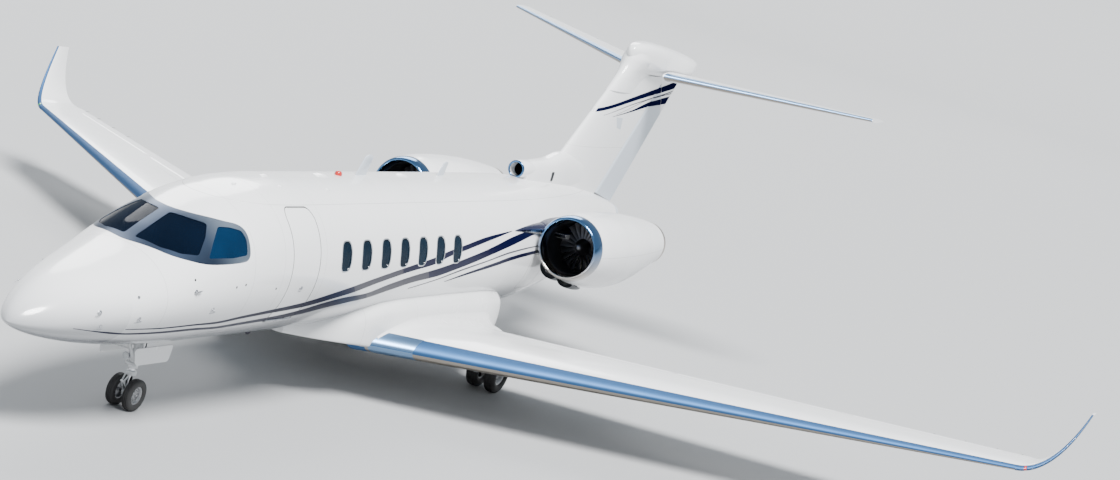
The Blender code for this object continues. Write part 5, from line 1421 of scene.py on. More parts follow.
# %% Fin
FIN_ROOT = (2.55, 14.67, 19.04, 0.0, 0.0)
FIN_TOP = (5.45, 17.86, 21.20, 0.0, 0.0)
FIN_CAP = 5.30
RUDDER = (0.69, 2.87, 5.10)
RUDDER_FOOT = np.array([(17.0, 3.125), (20.0, 2.576), (20.0, 1.0), (17.0, 1.0)])
SPINE = [(14.28, 0.155, 2.9, 3.50), (14.60, 0.175, 2.9, 3.53), (15.20, 0.19, 2.9, 3.57),
         (15.90, 0.20, 2.9, 3.70), (16.80, 0.18, 2.9, 3.72)]
INLET_RADIUS = 0.122
INLET_HEIGHT = 3.365
COLLAR = [(14.075, 0.150), (14.11, 0.159), (14.35, 0.163), (14.66, 0.155), (14.66, 0.128), (14.30, 0.123),
          (14.075, 0.124)]


def upright(z, s, x):
    """How a fin's span, chordwise place and half depth become a point."""
    return at(x, s, z)


def ovals(rows, sides=48, power=0.8, count=40):
    """Rounded upright sections: width, bottom and top are smooth lines along the aircraft."""
    stations = np.linspace(rows[0][0], rows[-1][0], count)[:, None]
    width, bottom, top = columns_at(rows, stations, 1, 2, 3)
    turn = turns(sides)
    z = (bottom + top) / 2 + (top - bottom) / 2 * boxy(np.cos(turn), power)
    return at(width * boxy(np.sin(turn), power), stations, z)


def shrunk(sections, share):
    """Each section drawn in towards its own middle."""
    middle = sections.mean(1, keepdims=True)
    return (sections - middle) * share + middle


fin_panel = Panel(FIN_ROOT, FIN_TOP, (0.085, 0.085), 0.0, upright)
rudder_hinge = Hinge(fin_panel, *RUDDER)
well = rudder_hinge.well("rudder_well", -0.60, rudder_hinge.length, 0.012)
fin = carve(raw("fin_skin", slab(fin_panel, [FIN_ROOT[0], FIN_CAP - 0.0003], 0.0, 1.0)), [well])
dress(fin, fin_white, stands_for=["fin"])
print("fin:", len(fin.data.polygons), "faces")

# %% Spine and cooling air inlet
ring = spokes(ACROSS, UP, 48)
inlet = at(0, 14.28, INLET_HEIGHT) + INLET_RADIUS * ring
spine = raw("dorsal_spine", loft(ovals(SPINE)))
carve(spine, [raw("inlet_tool", column(inlet, -0.1 * ALONG, 0.7 * ALONG))])
dress(spine, fin_white)
collar = loft(np.stack([at(0, s, INLET_HEIGHT) + radius * ring for s, radius in COLLAR]), loop=True)
dress(raw("dorsal_inlet_collar", collar), fin_white, sharp=50)
rim_path = at(0, 14.078, INLET_HEIGHT) + 0.137 * np.concatenate([ring, ring[:2]])
dress(raw("dorsal_inlet_rim", tube(rim_path, 0.019, 14)), lip_metal)
# Painted shade: the inlet's throat is dark.
throat = np.stack([inlet, inlet + 0.68 * ALONG])
throat = np.concatenate([shrunk(throat, 0.985) + 0.01 * ALONG, shrunk(throat[::-1], 0.93)])
dress(raw("dorsal_inlet_throat", loft(throat, loop=True)), dark_and_shade_metal)
print("spine:", len(spine.data.polygons), "faces")

# %% Rudder
rudder = raw("rudder_skin", rudder_hinge.body(-1.1, rudder_hinge.length))
carve(rudder, [raw("foot_tool", column(at(0, *RUDDER_FOOT.T), -0.5 * ACROSS, 0.5 * ACROSS))])
dress(rudder, shade_blue_grey, "rudder", ["rudder"])
print("rudder:", len(rudder.data.polygons), "faces")

# %% [markdown]
# The fin carries the same two navy bands with thin grey lines between. They are films again, laid on
# the fin's own surface. The rudder turns, so there the bands are written into its paint: a place is
# inside a band when it lies under one sloping line and over another.

# %% Bands on the fin
FIN_BANDS = (
    ("high", "navy", [(16.885, 4.560), (18.56, 4.895), (21.12, 5.275)],
     [(16.808, 4.488), (18.62, 4.812), (21.12, 5.105)]),
    ("hair_a", "grey", [(17.15, 4.462), (18.41, 4.722), (20.95, 5.045)],
     [(17.15, 4.456), (18.42, 4.706), (20.95, 5.020)]),
    ("hair_b", "grey", [(17.72, 4.500), (19.40, 4.850), (20.95, 4.995)],
     [(17.72, 4.494), (19.40, 4.836), (20.95, 4.975)]),
    ("low", "navy", [(17.55, 4.452), (18.44, 4.592), (19.43, 4.785), (20.95, 4.930)],
     [(17.55, 4.446), (18.47, 4.566), (19.51, 4.690), (20.95, 4.765)]),
    ("panel", "pale", [(17.76, 4.445), (18.10, 4.44)], [(17.93, 4.24), (18.17, 4.21)]))
# The pale panel on the fin is the blue-grey painted shade.
FIN_PAINTS = {"navy": fin_navy, "grey": fin_grey, "pale": shade_blue_grey}
RUDDER_ENDS = (19.45, 20.95)


def fin_film(top, bottom, sign, count=70, columns=6, lift=0.0009):
    """A film between two lines of (station, height), bent over the fin's thickness."""
    mark = np.linspace(0, 1, count)
    edges = []
    for rows in (top, bottom):
        rows = np.array(rows, float)
        even = (rows[:, 0] - rows[0, 0]) / (rows[-1, 0] - rows[0, 0])
        edges.append(np.stack(columns_at(np.insert(rows, 0, even, axis=1), mark, 1, 2), -1)[:, None])
    share = np.linspace(0, 1, columns)[None, :, None]
    s, z = np.moveaxis(edges[0] * (1 - share) + edges[1] * share, -1, 0)
    fraction = np.clip(fin_panel.fraction(z, s), 0.0006, 0.992)
    outer = fin_panel.point(z, fraction, sign, lift)
    inner = fin_panel.point(z[:, ::-1], fraction[:, ::-1], sign, -0.002)
    return loft(np.concatenate([outer, inner], 1))


for label, paint, top, bottom in FIN_BANDS:
    for side, sign in SIDES:
        film = raw("fin_band_%s_%s" % (label, side), fin_film(top, bottom, sign))
        carve(film, [rudder_hinge.well("fin_mask", -0.60, rudder_hinge.length, 0.012)])
        dress(film, FIN_PAINTS[paint])
# The rudder's paint is the blue-grey painted shade under its bands.
banded = Finish("rudder_banded_paint", RUDDER_SHADE_TONE, 0.24, 0.0, Coat_Roughness=0.06, Specular_IOR_Level=0.0)
places = banded.where()
tone = banded.mix(banded.noise(1.3, 5.0) * 0.05, banded.colour, shaded(banded.colour, 0.55))
gloss = None
for label, paint, top, bottom in FIN_BANDS[:4]:
    sides = []
    for rows, above in ((top, False), (bottom, True)):
        start, stop = [float(value) for value in smooth_line(rows)(RUDDER_ENDS)]
        slope = (stop - start) / (RUDDER_ENDS[1] - RUDDER_ENDS[0])
        rise = places[3] - places[2] * slope
        limit = start - slope * station(RUDDER_ENDS[0])
        sides.append(rise > limit if above else rise < limit)
    inside = sides[0] * sides[1]
    tone = banded.mix(inside, tone, (*(NAVY if paint == "navy" else GREY), 1.0))
    gloss = (1 - inside) if gloss is None else gloss * (1 - inside)
banded.set("Base Color", tone)
banded.set("Coat Weight", gloss * 0.4)
banded.bump(banded.noise(55.0, 2.0) * 0.06, 0.002)
rudder.data.materials[0] = banded.material
print("fin bands:", len(FIN_BANDS))

# %% Slots in the spine and the tail's end cap
flat = rounded_box((15.30, 3.20), (15.41, 3.37), 0.028)
slots = [column(at(sign * 0.165, *flat), 0 * ACROSS, sign * 0.03 * ACROSS) for _, sign in SIDES]
# Painted shade: the spine's slots are dark blocks standing for their openings.
dress(raw("dorsal_slots", *slots), dark_and_shade_metal)
# The tail cap carries the blue-grey painted shade.
cap = np.concatenate([rings([19.10, 19.12, 19.30, 19.315], -0.002), rings([19.315], 0.03)])
dress(raw("tail_end_cap", loft(cap)), shade_blue_grey)
print("cap:", len(cap), "rings")

# %% Stabiliser, elevators and top fairing
STAB_ROOT = (0.35, 19.06, 21.02, 5.363, 0.0)
STAB_TIP = (3.973, 21.295, 22.244, 5.661, 0.0)
ELEVATOR = (0.70, 0.80, 3.72)
BULLET = [(17.86, 0.03, 5.62, 5.74), (17.95, 0.11, 5.52, 5.82), (18.20, 0.20, 5.36, 5.89),
          (18.60, 0.26, 5.30, 5.92), (19.30, 0.31, 5.30, 5.90), (20.30, 0.31, 5.30, 5.83),
          (20.90, 0.27, 5.34, 5.77), (21.35, 0.17, 5.45, 5.71), (21.62, 0.05, 5.57, 5.66)]
NECK = [(4.93, 17.288, 0.1515), (5.15, 17.525, 0.158), (5.30, 17.685, 0.180), (5.45, 17.80, 0.222),
        (5.58, 17.86, 0.245), (5.70, 17.92, 0.22)]
NECK_BACK = 19.60
bullet = raw("fin_top_fairing", loft(ovals(BULLET, power=0.72, count=60)))
dress(bullet, plain_white, stands_for=["stabilizer_fairing"], sharp=50)


def neck(count=40, steps=30):
    """The fin's section grows into the fairing: leading edge and half width are smooth lines of height."""
    z = np.linspace(NECK[0][0], NECK[-1][0], count)[:, None]
    lead, wide = columns_at(NECK, z, 1, 2)
    f = 1 - np.cos(np.pi / 2 * np.arange(steps + 1) / steps)
    f = np.concatenate([f, f[::-1][1:-1]])
    side = np.concatenate([np.ones(steps + 1), -np.ones(steps - 1)])
    return upright(z, lead + f * (NECK_BACK - lead), 2 * wide * side * half_depth(f))


dress(raw("fin_neck", loft(neck())), fin_white, sharp=60)
tails = {sign: Panel(STAB_ROOT, STAB_TIP, (0.10, 0.09), 0.0, aircraft(sign)) for _, sign in SIDES}
for side, sign in SIDES:
    panel = tails[sign]
    hinge = Hinge(panel, *ELEVATOR)
    half = carve(raw("stabiliser_skin_" + side, slab(panel, [0.335, STAB_TIP[0]], 0.0, 1.0)),
                 [hinge.well("elevator_well", 0.0, hinge.length, CLEAR)])
    dress(half, plain_white, "stabilizer", ["stabilizer"])
    # The stabiliser's edge carries a painted reflection of the sky, and its lower half one of the ground.
    strip = slab(panel, [0.36, STAB_TIP[0] - 0.005], 0.0, 0.075, 16, 0.0015)
    dress(raw("stabiliser_edge_" + side, strip), cuff_metal, "stabilizer")
    points, faces = under_film(panel, np.linspace(0.36, STAB_TIP[0] - 0.02, 12), 0.002, 0.072)
    below = raw("stabiliser_edge_below_" + side, (points - 0.0012 * UP, faces))
    dress(below, ground_reflection_metal, "stabilizer")
    elevator = raw("elevator_skin_" + side, hinge.body())
    dress(elevator, plain_white, "elevator_" + side, ["elevator_" + side])
print("stabiliser spans", 2 * STAB_TIP[0], "m")

# %% [markdown]
# ## Engines
# Each engine pod is turned like a vase: a radius that changes along the axis, with a lower lobe over
# the gearbox. The lip is bare metal: two quarter ellipses meet at the front. Inside are the fan with
# its spinner, fixed vanes behind it and the core with its exhaust cone.

# %% Engine pods
ENGINE_X = 1.651
ENGINE_Z = 2.482
LIP_FRONT = 13.19
LIP_BACK = 13.43
NACELLE_OUTER = [(LIP_BACK, 0.563), (13.75, 0.595), (14.25, 0.605), (15.10, 0.583), (16.20, 0.498),
                 (17.10, 0.388)]
NACELLE_INNER = [(LIP_BACK, 0.452), (15.30, 0.450), (16.30, 0.425), (17.10, 0.372)]
LINER = [(13.42, 0.4525)] + NACELLE_INNER[1:]
CORE = [(14.20, 0.22), (14.45, 0.30), (15.90, 0.30), (16.70, 0.24), (17.20, 0.15), (17.55, 0.03)]
HUB = [(13.70, 0.0), (13.715, 0.035), (13.76, 0.075), (13.90, 0.135), (14.08, 0.16)]
FAN_STATION = 13.98
FAN_RADIUS = 0.430
BLADES = 22


def turned(stations, radii, sign, bulge=0.0, sides=96):
    """Rings about an engine's axis; the lower lobe grows with the square of how far down."""
    turn = turns(sides)
    s, r = np.asarray(stations, float)[:, None], np.asarray(radii, float)[:, None]
    under = np.maximum(0.0, -np.cos(turn)) ** 2
    swell = np.maximum(np.sin(np.pi * np.clip((s - 13.45) / 3.2, 0, 1)), 0) ** 0.9
    reach = r + bulge * 0.15 * under * swell
    return at(sign * ENGINE_X + reach * np.sin(turn), s, ENGINE_Z + reach * np.cos(turn))


def turned_line(rows, start, stop, count, sign, out=0.0, back=None, bulge=0.0):
    """Rings whose radius is a smooth line; with back they return at another offset, as a thin sleeve."""
    s = np.linspace(start, stop, count)
    radius = smooth_line(rows)(s)
    there = turned(s, radius + out, sign, bulge)
    if back is None:
        return there
    return np.concatenate([there, turned(s[::-1], radius[::-1] + back, sign, bulge)])


def round_axis(count):
    """Directions out from the axis and across it, blade by blade."""
    return zip(spokes(UP, ACROSS, count), spokes(ACROSS, -UP, count))


def fan_blades(sign):
    """Thin twisted blades: the chord turns from along the axis at the hub to across it at the tip."""
    radius = np.linspace(0.10, FAN_RADIUS, 9)[:, None]
    share = (radius - 0.10) / (FAN_RADIUS - 0.10)
    twist = np.radians(32 + 30 * share)
    half = 0.045 + 0.017 * share
    u = np.linspace(-1, 1, 9)
    along = np.concatenate([u, u[::-1][1:-1]])
    thick = np.concatenate([1 - u ** 2, -(1 - u[::-1][1:-1] ** 2)]) * 0.0035 + 0.012 * (1 - along ** 2)
    hub = at(sign * ENGINE_X, FAN_STATION, ENGINE_Z)
    parts = []
    for out, across in round_axis(BLADES):
        chord = np.sin(twist) * across + np.cos(twist) * ALONG
        normal = np.cos(twist) * across - np.sin(twist) * ALONG
        centre = hub + radius * out + 0.030 * share ** 2 * ALONG
        parts.append(loft(centre[:, None] + (half * chord)[:, None] * along[:, None]
                          + normal[:, None] * thick[:, None]))
    return parts


def stators(sign, count=34):
    """Fixed vanes behind the fan: thin plates from the core to the duct, a little turned."""
    radius = np.array([0.225, 0.34, 0.4505])[:, None, None]
    middle = at(sign * ENGINE_X, 14.30, ENGINE_Z)
    parts = []
    for out, across in round_axis(count):
        chord = 0.049 * ALONG + 0.014 * across
        edge = -0.00112 * ALONG + 0.004 * across
        parts.append(loft(middle + radius * out + np.stack([-chord, edge, chord, -edge])))
    return parts


def pod_seat(s, degrees, sign):
    """A place on the pod's skin with its directions round, along and out."""
    stations = np.array([s - 0.01, s, s + 0.01])
    grid = turned(stations, smooth_line(NACELLE_OUTER)(stations), sign, 1.0, 720)
    i = int(round(degrees * 2)) % 720
    spot = grid[1, i]
    around = unit(grid[1, (i + 2) % 720] - grid[1, i - 2])
    along = unit(grid[2, i] - grid[0, i])
    out = np.cross(around, along)
    return spot, around, along, out * np.sign(out @ (spot - at(sign * ENGINE_X, s, ENGINE_Z)))


def pod_stud(s, degrees, sign, radius, height, stretch):
    """A low round fastener on the pod, drawn out along it."""
    spot, around, along, out = pod_seat(s, degrees, sign)
    ring = spokes(around, stretch * along, 16)
    return lathe(spot, out, ring, [(radius, -0.004), (radius, height), (0.0, height * 1.3)])


def scoop(s, degrees, sign, wide, high, length):
    """A half-round scoop with an open mouth: it rises to full height in front and fades behind."""
    spot, around, along, out = pod_seat(s, degrees, sign)
    share = np.linspace(0, 1, 12)[:, None]
    grow = np.sqrt(1 - share ** 2 * 0.98)
    turn = np.linspace(0, np.pi, 15)
    shell = []
    for thick in (0.0, 0.006):
        x = (wide - thick) * grow * np.cos(turn)
        y = (high - thick) * grow * np.sin(turn) - 0.012
        shell.append(spot + x[..., None] * around + y[..., None] * out + (share * length)[..., None] * along)
    return loft(np.concatenate([shell[0], shell[1][:, ::-1]], 1))


# %% Engines in place
quarter = np.linspace(0, np.pi / 2, 14)
lip_s = LIP_FRONT + (LIP_BACK - LIP_FRONT) * (1 - np.cos(quarter))
lip_rows = np.concatenate([np.stack([lip_s, 0.500 + 0.063 * np.sin(quarter)], -1)[::-1],
                           np.stack([lip_s, 0.500 - 0.048 * np.sin(quarter)], -1)[1:]])
rim_s = np.linspace(16.98, 17.10, 8)
for side, sign in SIDES:
    lip = raw("inlet_lip_skin_" + side, loft(turned(*lip_rows.T, sign), loop=True))
    dress(lip, lip_metal, stands_for=["inlet_lip_" + side], sharp=50)
    # Painted shade: the inlet liner is dark.
    liner = turned_line(LINER, 13.425, 14.40, 24, sign, -0.0015, 0.004)
    dress(raw("inlet_liner_" + side, loft(liner, loop=True)), dark_and_shade_metal)
    jet = turned_line(NACELLE_INNER, 15.30, 17.085, 40, sign, -0.002, 0.004)
    rim = smooth_line(NACELLE_OUTER)(rim_s)
    edge = [turned(rim_s, rim + 0.0015, sign, 1.0), turned([17.104], [0.383], sign, 1.0),
            turned(rim_s[::-1], rim[::-1] - 0.004, sign, 1.0)]
    nozzle = raw("exhaust_nozzle_" + side, loft(jet, loop=True), loft(np.concatenate(edge), loop=True))
    dress(nozzle, hot_metal)
    # Painted shade: the vanes behind the fan are dark.
    dress(raw("stator_vanes_" + side, *stators(sign)), dark_and_shade_metal)
    # Painted shade: the scoops are dark all over, for their open mouths.
    scoops = [scoop(13.50, 180.0 + 33 * sign, sign, 0.19, 0.150, 1.05),
              scoop(13.74, 180.0 + 6 * sign, sign, 0.15, 0.105, 0.8)]
    dress(raw("pod_scoops_" + side, *scoops), dark_and_shade_metal)
    latches = [pod_stud(s, 180.0, sign, 0.012, 0.004, 3.0) for s in (14.0, 14.3, 14.8, 15.2, 15.6)]
    latches += [pod_stud(s, a * sign, sign, 0.007, 0.0015, 1.0) for s in (14.7, 15.9) for a in (40, 75, 110, 145)]
    dress(raw("pod_latches_" + side, *latches), steel)
    outer = turned_line(NACELLE_OUTER, LIP_BACK + 0.0004, 17.10, 70, sign, bulge=1.0)
    inner = turned_line(NACELLE_INNER, LIP_BACK + 0.0004, 17.10, 70, sign)[::-1]
    pod_skin = raw("nacelle_skin_" + side, loft(np.concatenate([outer, inner]), loop=True))
    dress(pod_skin, pod_white, stands_for=["nacelle_" + side], sharp=50)
    core = raw("engine_core_skin_" + side, loft(turned_line(CORE, 14.20, 17.55, 60, sign)))
    dress(core, hot_metal, stands_for=["engine_core_" + side], sharp=50)
    hub_s = np.linspace(13.70, 14.08, 30)
    spinner = loft(turned(hub_s, smooth_line(HUB)(hub_s), sign, sides=48))
    # Painted shade: the fan is dark metal.
    fan = raw("fan_blades_" + side, spinner, *fan_blades(sign))
    dress(fan, blade_metal, "fan_" + side, ["fan_" + side], sharp=40)
print("fan:", len(fan.data.polygons), "faces,", BLADES, "blades")

# %% [markdown]
# The stub wing that carries each engine continues the navy band over its top, with a bright leading
# edge and a grey underside of painted shade: one finish whose colour changes at the height of its middle.

# %% Pylons
PYLON_ROOT = (0.55, 12.75, 16.9, 2.60, 0.0)
PYLON_END = (1.45, 13.93, 16.9, 2.60, 0.0)
STRAKE = [(12.20, -0.02, 0.010), (12.35, 0.004, 0.028), (12.65, 0.022, 0.055), (13.0, 0.050, 0.080),
          (13.3, 0.085, 0.096), (13.55, 0.115, 0.105), (14.4, 0.12, 0.11)]
pylon_finish = Finish("pylon_paint", NAVY, 0.22, 0.0, Coat_Weight=0.1, Coat_Roughness=0.06,
                      Specular_IOR_Level=0.3)
over = ((pylon_finish.where()[3] - 2.605) / 0.004 + 0.5).clamped()
# Painted shade: below its middle the pylon is grey, mottled between two greys.
under = pylon_finish.mix(pylon_finish.noise(2.0, 4.0) * 0.3, (0.50, 0.51, 0.52, 1.0), (0.36, 0.36, 0.36, 1.0))
pylon_finish.set("Base Color", pylon_finish.mix(over, under, pylon_finish.colour))
pylon_finish.bump(pylon_finish.noise(55.0, 2.0) * 0.06, 0.002)
pylon_paint = pylon_finish.material


def root_strake(sign, count=50, sides=48):
    """A half-round ridge on the skin: its reach and half height are smooth lines; the bright edge is
    the middle part of the same section, a millimetre proud."""
    s = np.linspace(STRAKE[0][0], STRAKE[-1][0], count)[:, None]
    reach, half = columns_at(STRAKE, s, 1, 2)
    base = side_points(s, 2.60)[..., 0] - 0.08

    def section(turn, proud):
        x = base + (0.08 + reach + proud) * np.cos(turn)
        return at(sign * x, s, 2.60 + (half + proud) * np.sin(turn))
    front = np.radians(np.linspace(-62, 8, 20))
    edge = np.concatenate([section(front, 0.0012), section(front[::-1], -0.006)], 1)
    return loft(section(turns(sides), 0.0)), loft(edge)


for side, sign in SIDES:
    panel = Panel(PYLON_ROOT, PYLON_END, (0.075, 0.085), 0.0, aircraft(sign))
    pylon = raw("pylon_skin_" + side, slab(panel, [0.55, 1.35], 0.0, 1.0))
    dress(pylon, pylon_paint, stands_for=["pylon_" + side])
    strip = raw("pylon_edge_" + side, slab(panel, [0.90, 1.34], 0.0, 0.03, 16, 0.0012))
    dress(strip, polished)
    strake, bright = root_strake(sign)
    dress(raw("pylon_root_strake_" + side, strake), pylon_paint, sharp=60)
    dress(raw("pylon_root_edge_" + side, bright), polished, sharp=60)
print("pylons done")

# %% [markdown]
# ## Landing gear
# Each leg carries two wheels on one axle. A tyre is its section turned about the axle: bead, bulging
# wall, shoulder and a tread with round grooves. The main legs have a trailing arm and an oil-filled
# strut beside it; the nose leg slides straight up and is steered by a folding link.

# %% Struts and wheels
NOSE_GEAR = 3.15
NOSE_WHEEL = (0.22, 0.125, 0.13, 0.022)
MAIN_GEAR_X = 1.42
MAIN_AXLE = 11.92
MAIN_WHEEL = (0.33, 0.200, 0.165, 0.030)
TYRE_WALL = [(0.60, 0.0), (0.80, 0.07), (0.94, 0.24), (1.0, 0.46), (0.985, 0.62), (0.92, 0.78), (0.80, 0.895),
             (0.68, 0.955)]
DISC = [(0.30, 0.40), (0.30, 0.72), (0.50, 0.80), (0.60, 0.90), (0.64, 1.045), (0.58, 1.05), (0.54, 0.996),
        (-0.54, 0.996), (-0.58, 1.05), (-0.64, 1.045), (-0.60, 0.93), (-0.42, 0.90), (0.08, 0.86)]


def strut(start, end, rows, sides=32):
    """A turned bar between two points: rows of (share of its length, radius)."""
    start, end = np.asarray(start, float), np.asarray(end, float)
    along = unit(end - start)
    first = unit(np.cross(along, np.eye(3)[np.argmin(np.abs(along))]))
    ring = spokes(first, np.cross(along, first), sides)
    return lathe(start, end - start, ring, [(radius, share) for share, radius in rows])


def bar(start, end, radius, edge=0.12):
    """A plain bar with softly rounded ends."""
    thin = radius * (1 - edge)
    return strut(start, end, [(0, thin), (0.004, radius), (0.996, radius), (1, thin)], 20)


def spun(rows, centre, sides=96):
    """A section of (place across, radius) turned about an axle across the aircraft."""
    rows = np.array(rows, float)[:, :, None, None]
    return np.asarray(centre) + rows[:, 0] * ACROSS + rows[:, 1] * spokes(-UP, ALONG, sides, 0.5)


def tyre_rows(radius, width, hub, grooves=3):
    """Half the section is written out and mirrored; grooves are dips in the tread."""
    half = [(a * width / 2, hub + r * (radius - hub)) for a, r in TYRE_WALL]
    wide, deep = 0.0035, 0.008
    tread = []
    for centre in np.linspace(0.44, -0.44, grooves) * width / 2:
        tread += [(centre + wide + 0.001, radius), (centre + wide, radius - deep),
                  (centre - wide, radius - deep), (centre - wide - 0.001, radius)]
    return half + tread + [(-a, r) for a, r in half[::-1]]


def wheel(centre, side, radius, width, hub, bore):
    """The outer face is dished, with a cap, a bolt ring and round holes; the inner face is flat."""
    w = side * width / 2
    rows = [(0.62 * w, 0.0005), (0.62 * w, 0.7 * bore), (0.52 * w, bore), (0.40 * w, bore * 1.1)]
    rows += [(a * w, r * hub) for a, r in DISC] + [(0.10 * w, 0.0005)]
    disc = raw("wheel", loft(spun(rows, centre, 72)))
    holes = []
    studs = []
    for turn in turns(9):
        spot = centre + 0.565 * hub * (math.sin(turn) * ALONG + math.cos(turn) * UP)
        holes.append(strut(spot - 0.9 * w * ACROSS, spot + 0.9 * w * ACROSS,
                           [(0, 0.10 * hub), (1, 0.10 * hub)], 16))
        spot = centre + 0.86 * hub * (math.sin(turn + 0.3) * ALONG + math.cos(turn + 0.3) * UP)
        studs.append(strut(spot + 0.45 * w * ACROSS, spot + 0.62 * w * ACROSS,
                           [(0, 0.045 * hub), (1, 0.04 * hub)], 8))
    carve(disc, [raw("wheel_holes", *holes)])
    return disc, studs


def wheel_pair(label, body, places, centre, radius, width, spread, bore):
    """Two wheels with their tyres on one axle."""
    hub = 0.56 * radius
    axle = strut(centre - spread * ACROSS, centre + spread * ACROSS, [(0, bore), (1, bore)], 40)
    dress(raw("%s_axle" % label, axle), chrome, body, [body])
    for place, side in places:
        spot = centre + side * spread * ACROSS
        node = "%s_%s" % (label, place)
        disc, studs = wheel(spot, side, radius, width, hub, bore)
        dress(disc, hub_metal, body, sharp=35)
        disc.name = node + "_hub"
        dress(raw(node + "_bolts", *studs), steel, body)
        tyre = raw(node + "_round", loft(spun(tyre_rows(radius, width, hub), spot), loop=True))
        dress(tyre, tyre_rubber, body, [node], sharp=50)


wheel_pair("nose_tyre", "nose_wheels", SIDES, at(0, NOSE_GEAR, NOSE_WHEEL[0]), *NOSE_WHEEL)
for side, sign in SIDES:
    wheel_pair("main_tyre_" + side, "main_wheels_" + side, (("outboard", sign), ("inboard", -sign)),
               at(sign * MAIN_GEAR_X, MAIN_AXLE, MAIN_WHEEL[0]), *MAIN_WHEEL)
print("wheels done")

# %% Nose leg
LEG_SHAPE = [(0, 0.056), (0.01, 0.066), (0.06, 0.066), (0.07, 0.058), (0.40, 0.058), (0.41, 0.064),
             (0.50, 0.064), (0.51, 0.058), (1, 0.058)]
TRUNNION = [(0, 0.036), (0.1, 0.036), (0.11, 0.028), (0.4, 0.028), (0.42, 0.05), (0.58, 0.05), (0.6, 0.028),
            (0.89, 0.028), (0.9, 0.036), (1, 0.036)]
LAMP_SHAPE = [(0, 0.02), (0.3, 0.045), (0.8, 0.052), (1.0, 0.054), (0.99, 0.047), (0.8, 0.044)]


def by_nose(x, back, z):
    """A point from the nose leg's own line."""
    return at(x, NOSE_GEAR + back, z)


leg_parts = [strut(by_nose(0, 0, 0.56), by_nose(0, 0, 1.2797), LEG_SHAPE),
             strut(by_nose(-0.20, 0, 1.10), by_nose(0.20, 0, 1.10), TRUNNION),
             bar(by_nose(0, -0.03, 0.66), by_nose(0, -0.52, 1.255), 0.024),
             bar(by_nose(0.09, -0.05, 0.62), by_nose(-0.09, -0.05, 0.62), 0.026)]
doors = []
lamps = []
glasses = []
hoses = []
for _, sign in SIDES:
    leg_parts.append(bar(by_nose(0, 0, 0.86), by_nose(sign * 0.268, 0, 0.86), 0.011))
    leg_parts.append(bar(by_nose(0, -0.02, 0.80), by_nose(sign * 0.272, -0.30, 0.84), 0.008))
    sheet = [(sign * 0.262, 2.62, 0.95), (sign * 0.262, 3.56, 0.95), (sign * 0.275, 3.50, 0.72),
             (sign * 0.275, 2.70, 0.72)]
    doors.append(column(rounded(at(*np.array(sheet).T), 0.06), 0 * ACROSS, sign * 0.014 * ACROSS))
    eye = by_nose(sign * 0.105, -0.085, 0.70)
    lamps.append(strut(eye + 0.07 * ALONG, eye, LAMP_SHAPE))
    lamps.append(bar(by_nose(0, 0, 0.70), eye + 0.03 * ALONG, 0.012))
    glasses.append(strut(eye + 0.012 * ALONG, eye - 0.004 * ALONG, [(0, 0.046), (0.6, 0.046), (1.0, 0.030)]))
for sign in (-1, 1):
    path = [by_nose(sign * 0.05, 0.055, 1.262), by_nose(sign * 0.07, 0.075, 0.9),
            by_nose(sign * 0.058, 0.062, 0.70), by_nose(sign * 0.040, 0.046, 0.590)]
    hoses.append(tube(bent(path, 0.05, 10), 0.008, 10))
dress(raw("nose_leg_tube", *leg_parts), leg_white, stands_for=["nose_gear_leg"])
dress(raw("nose_leg_doors", *doors), belly_shaded_white)
dress(raw("taxi_lamps", *lamps), steel)
dress(raw("taxi_lamp_glass", *glasses), lamp_clear)
dress(raw("nose_leg_hoses", *hoses), hose_black)

# %% Nose piston, link and bay
piston = strut(by_nose(0, 0, 0.248), by_nose(0, 0, 0.79), [(0, 0.040), (0.5, 0.040), (1.0, 0.040)])
dress(raw("nose_piston", piston), chrome, "nose_gear_fork", ["nose_gear_fork"])
link_parts = [strut(by_nose(0, 0, 0.46), by_nose(0, 0, 0.52),
                    [(0, 0.068), (0.1, 0.074), (0.9, 0.074), (1, 0.068)]),
              strut(by_nose(-0.045, 0, 0.22), by_nose(0.045, 0, 0.22),
                    [(0, 0.048), (0.1, 0.052), (0.9, 0.052), (1, 0.048)])]
for height, back in ((0.25, -0.045), (0.495, -0.065)):
    for x in (-0.035, 0.035):
        link_parts.append(bar(by_nose(x, back, height), by_nose(x * 0.45, -0.155, 0.385), 0.011))
link_parts.append(bar(by_nose(-0.032, -0.155, 0.385), by_nose(0.032, -0.155, 0.385), 0.015))
dress(raw("nose_torque_link", *link_parts), leg_white, "nose_gear_fork")
inner, outer = [rounded_box((-0.24 - grow, 2.55 - grow), (0.24 + grow, 3.62 + grow), 0.03 + grow)
                for grow in (0.002, 0.008)]
liner = loft(np.stack([at(*inner, 1.03), at(*inner, 1.262), at(*outer, 1.262), at(*outer, 1.03)]), loop=True)
dress(raw("nose_bay_liner", liner, column(at(*inner, 1.262), -0.006 * UP, 0 * UP)), leg_white)
print("nose leg done")

# %% Main legs
CASTING = [(0, 0.045), (0.04, 0.062), (0.20, 0.062), (0.24, 0.054), (0.75, 0.056), (0.80, 0.066),
           (1.0, 0.066)]
ARM = [(0, 0.05), (0.12, 0.05), (0.2, 0.038), (0.8, 0.036), (0.92, 0.05), (1, 0.05)]
OIL_STRUT = [(0, 0.034), (0.05, 0.040), (0.85, 0.040), (0.9, 0.03), (1, 0.03)]
BRAKE = [(0.066, 0.060), (0.066, 0.125), (0.098, 0.132), (0.112, 0.120), (0.112, 0.045), (0.066, 0.040)]
KNEE = MAIN_AXLE - 0.56


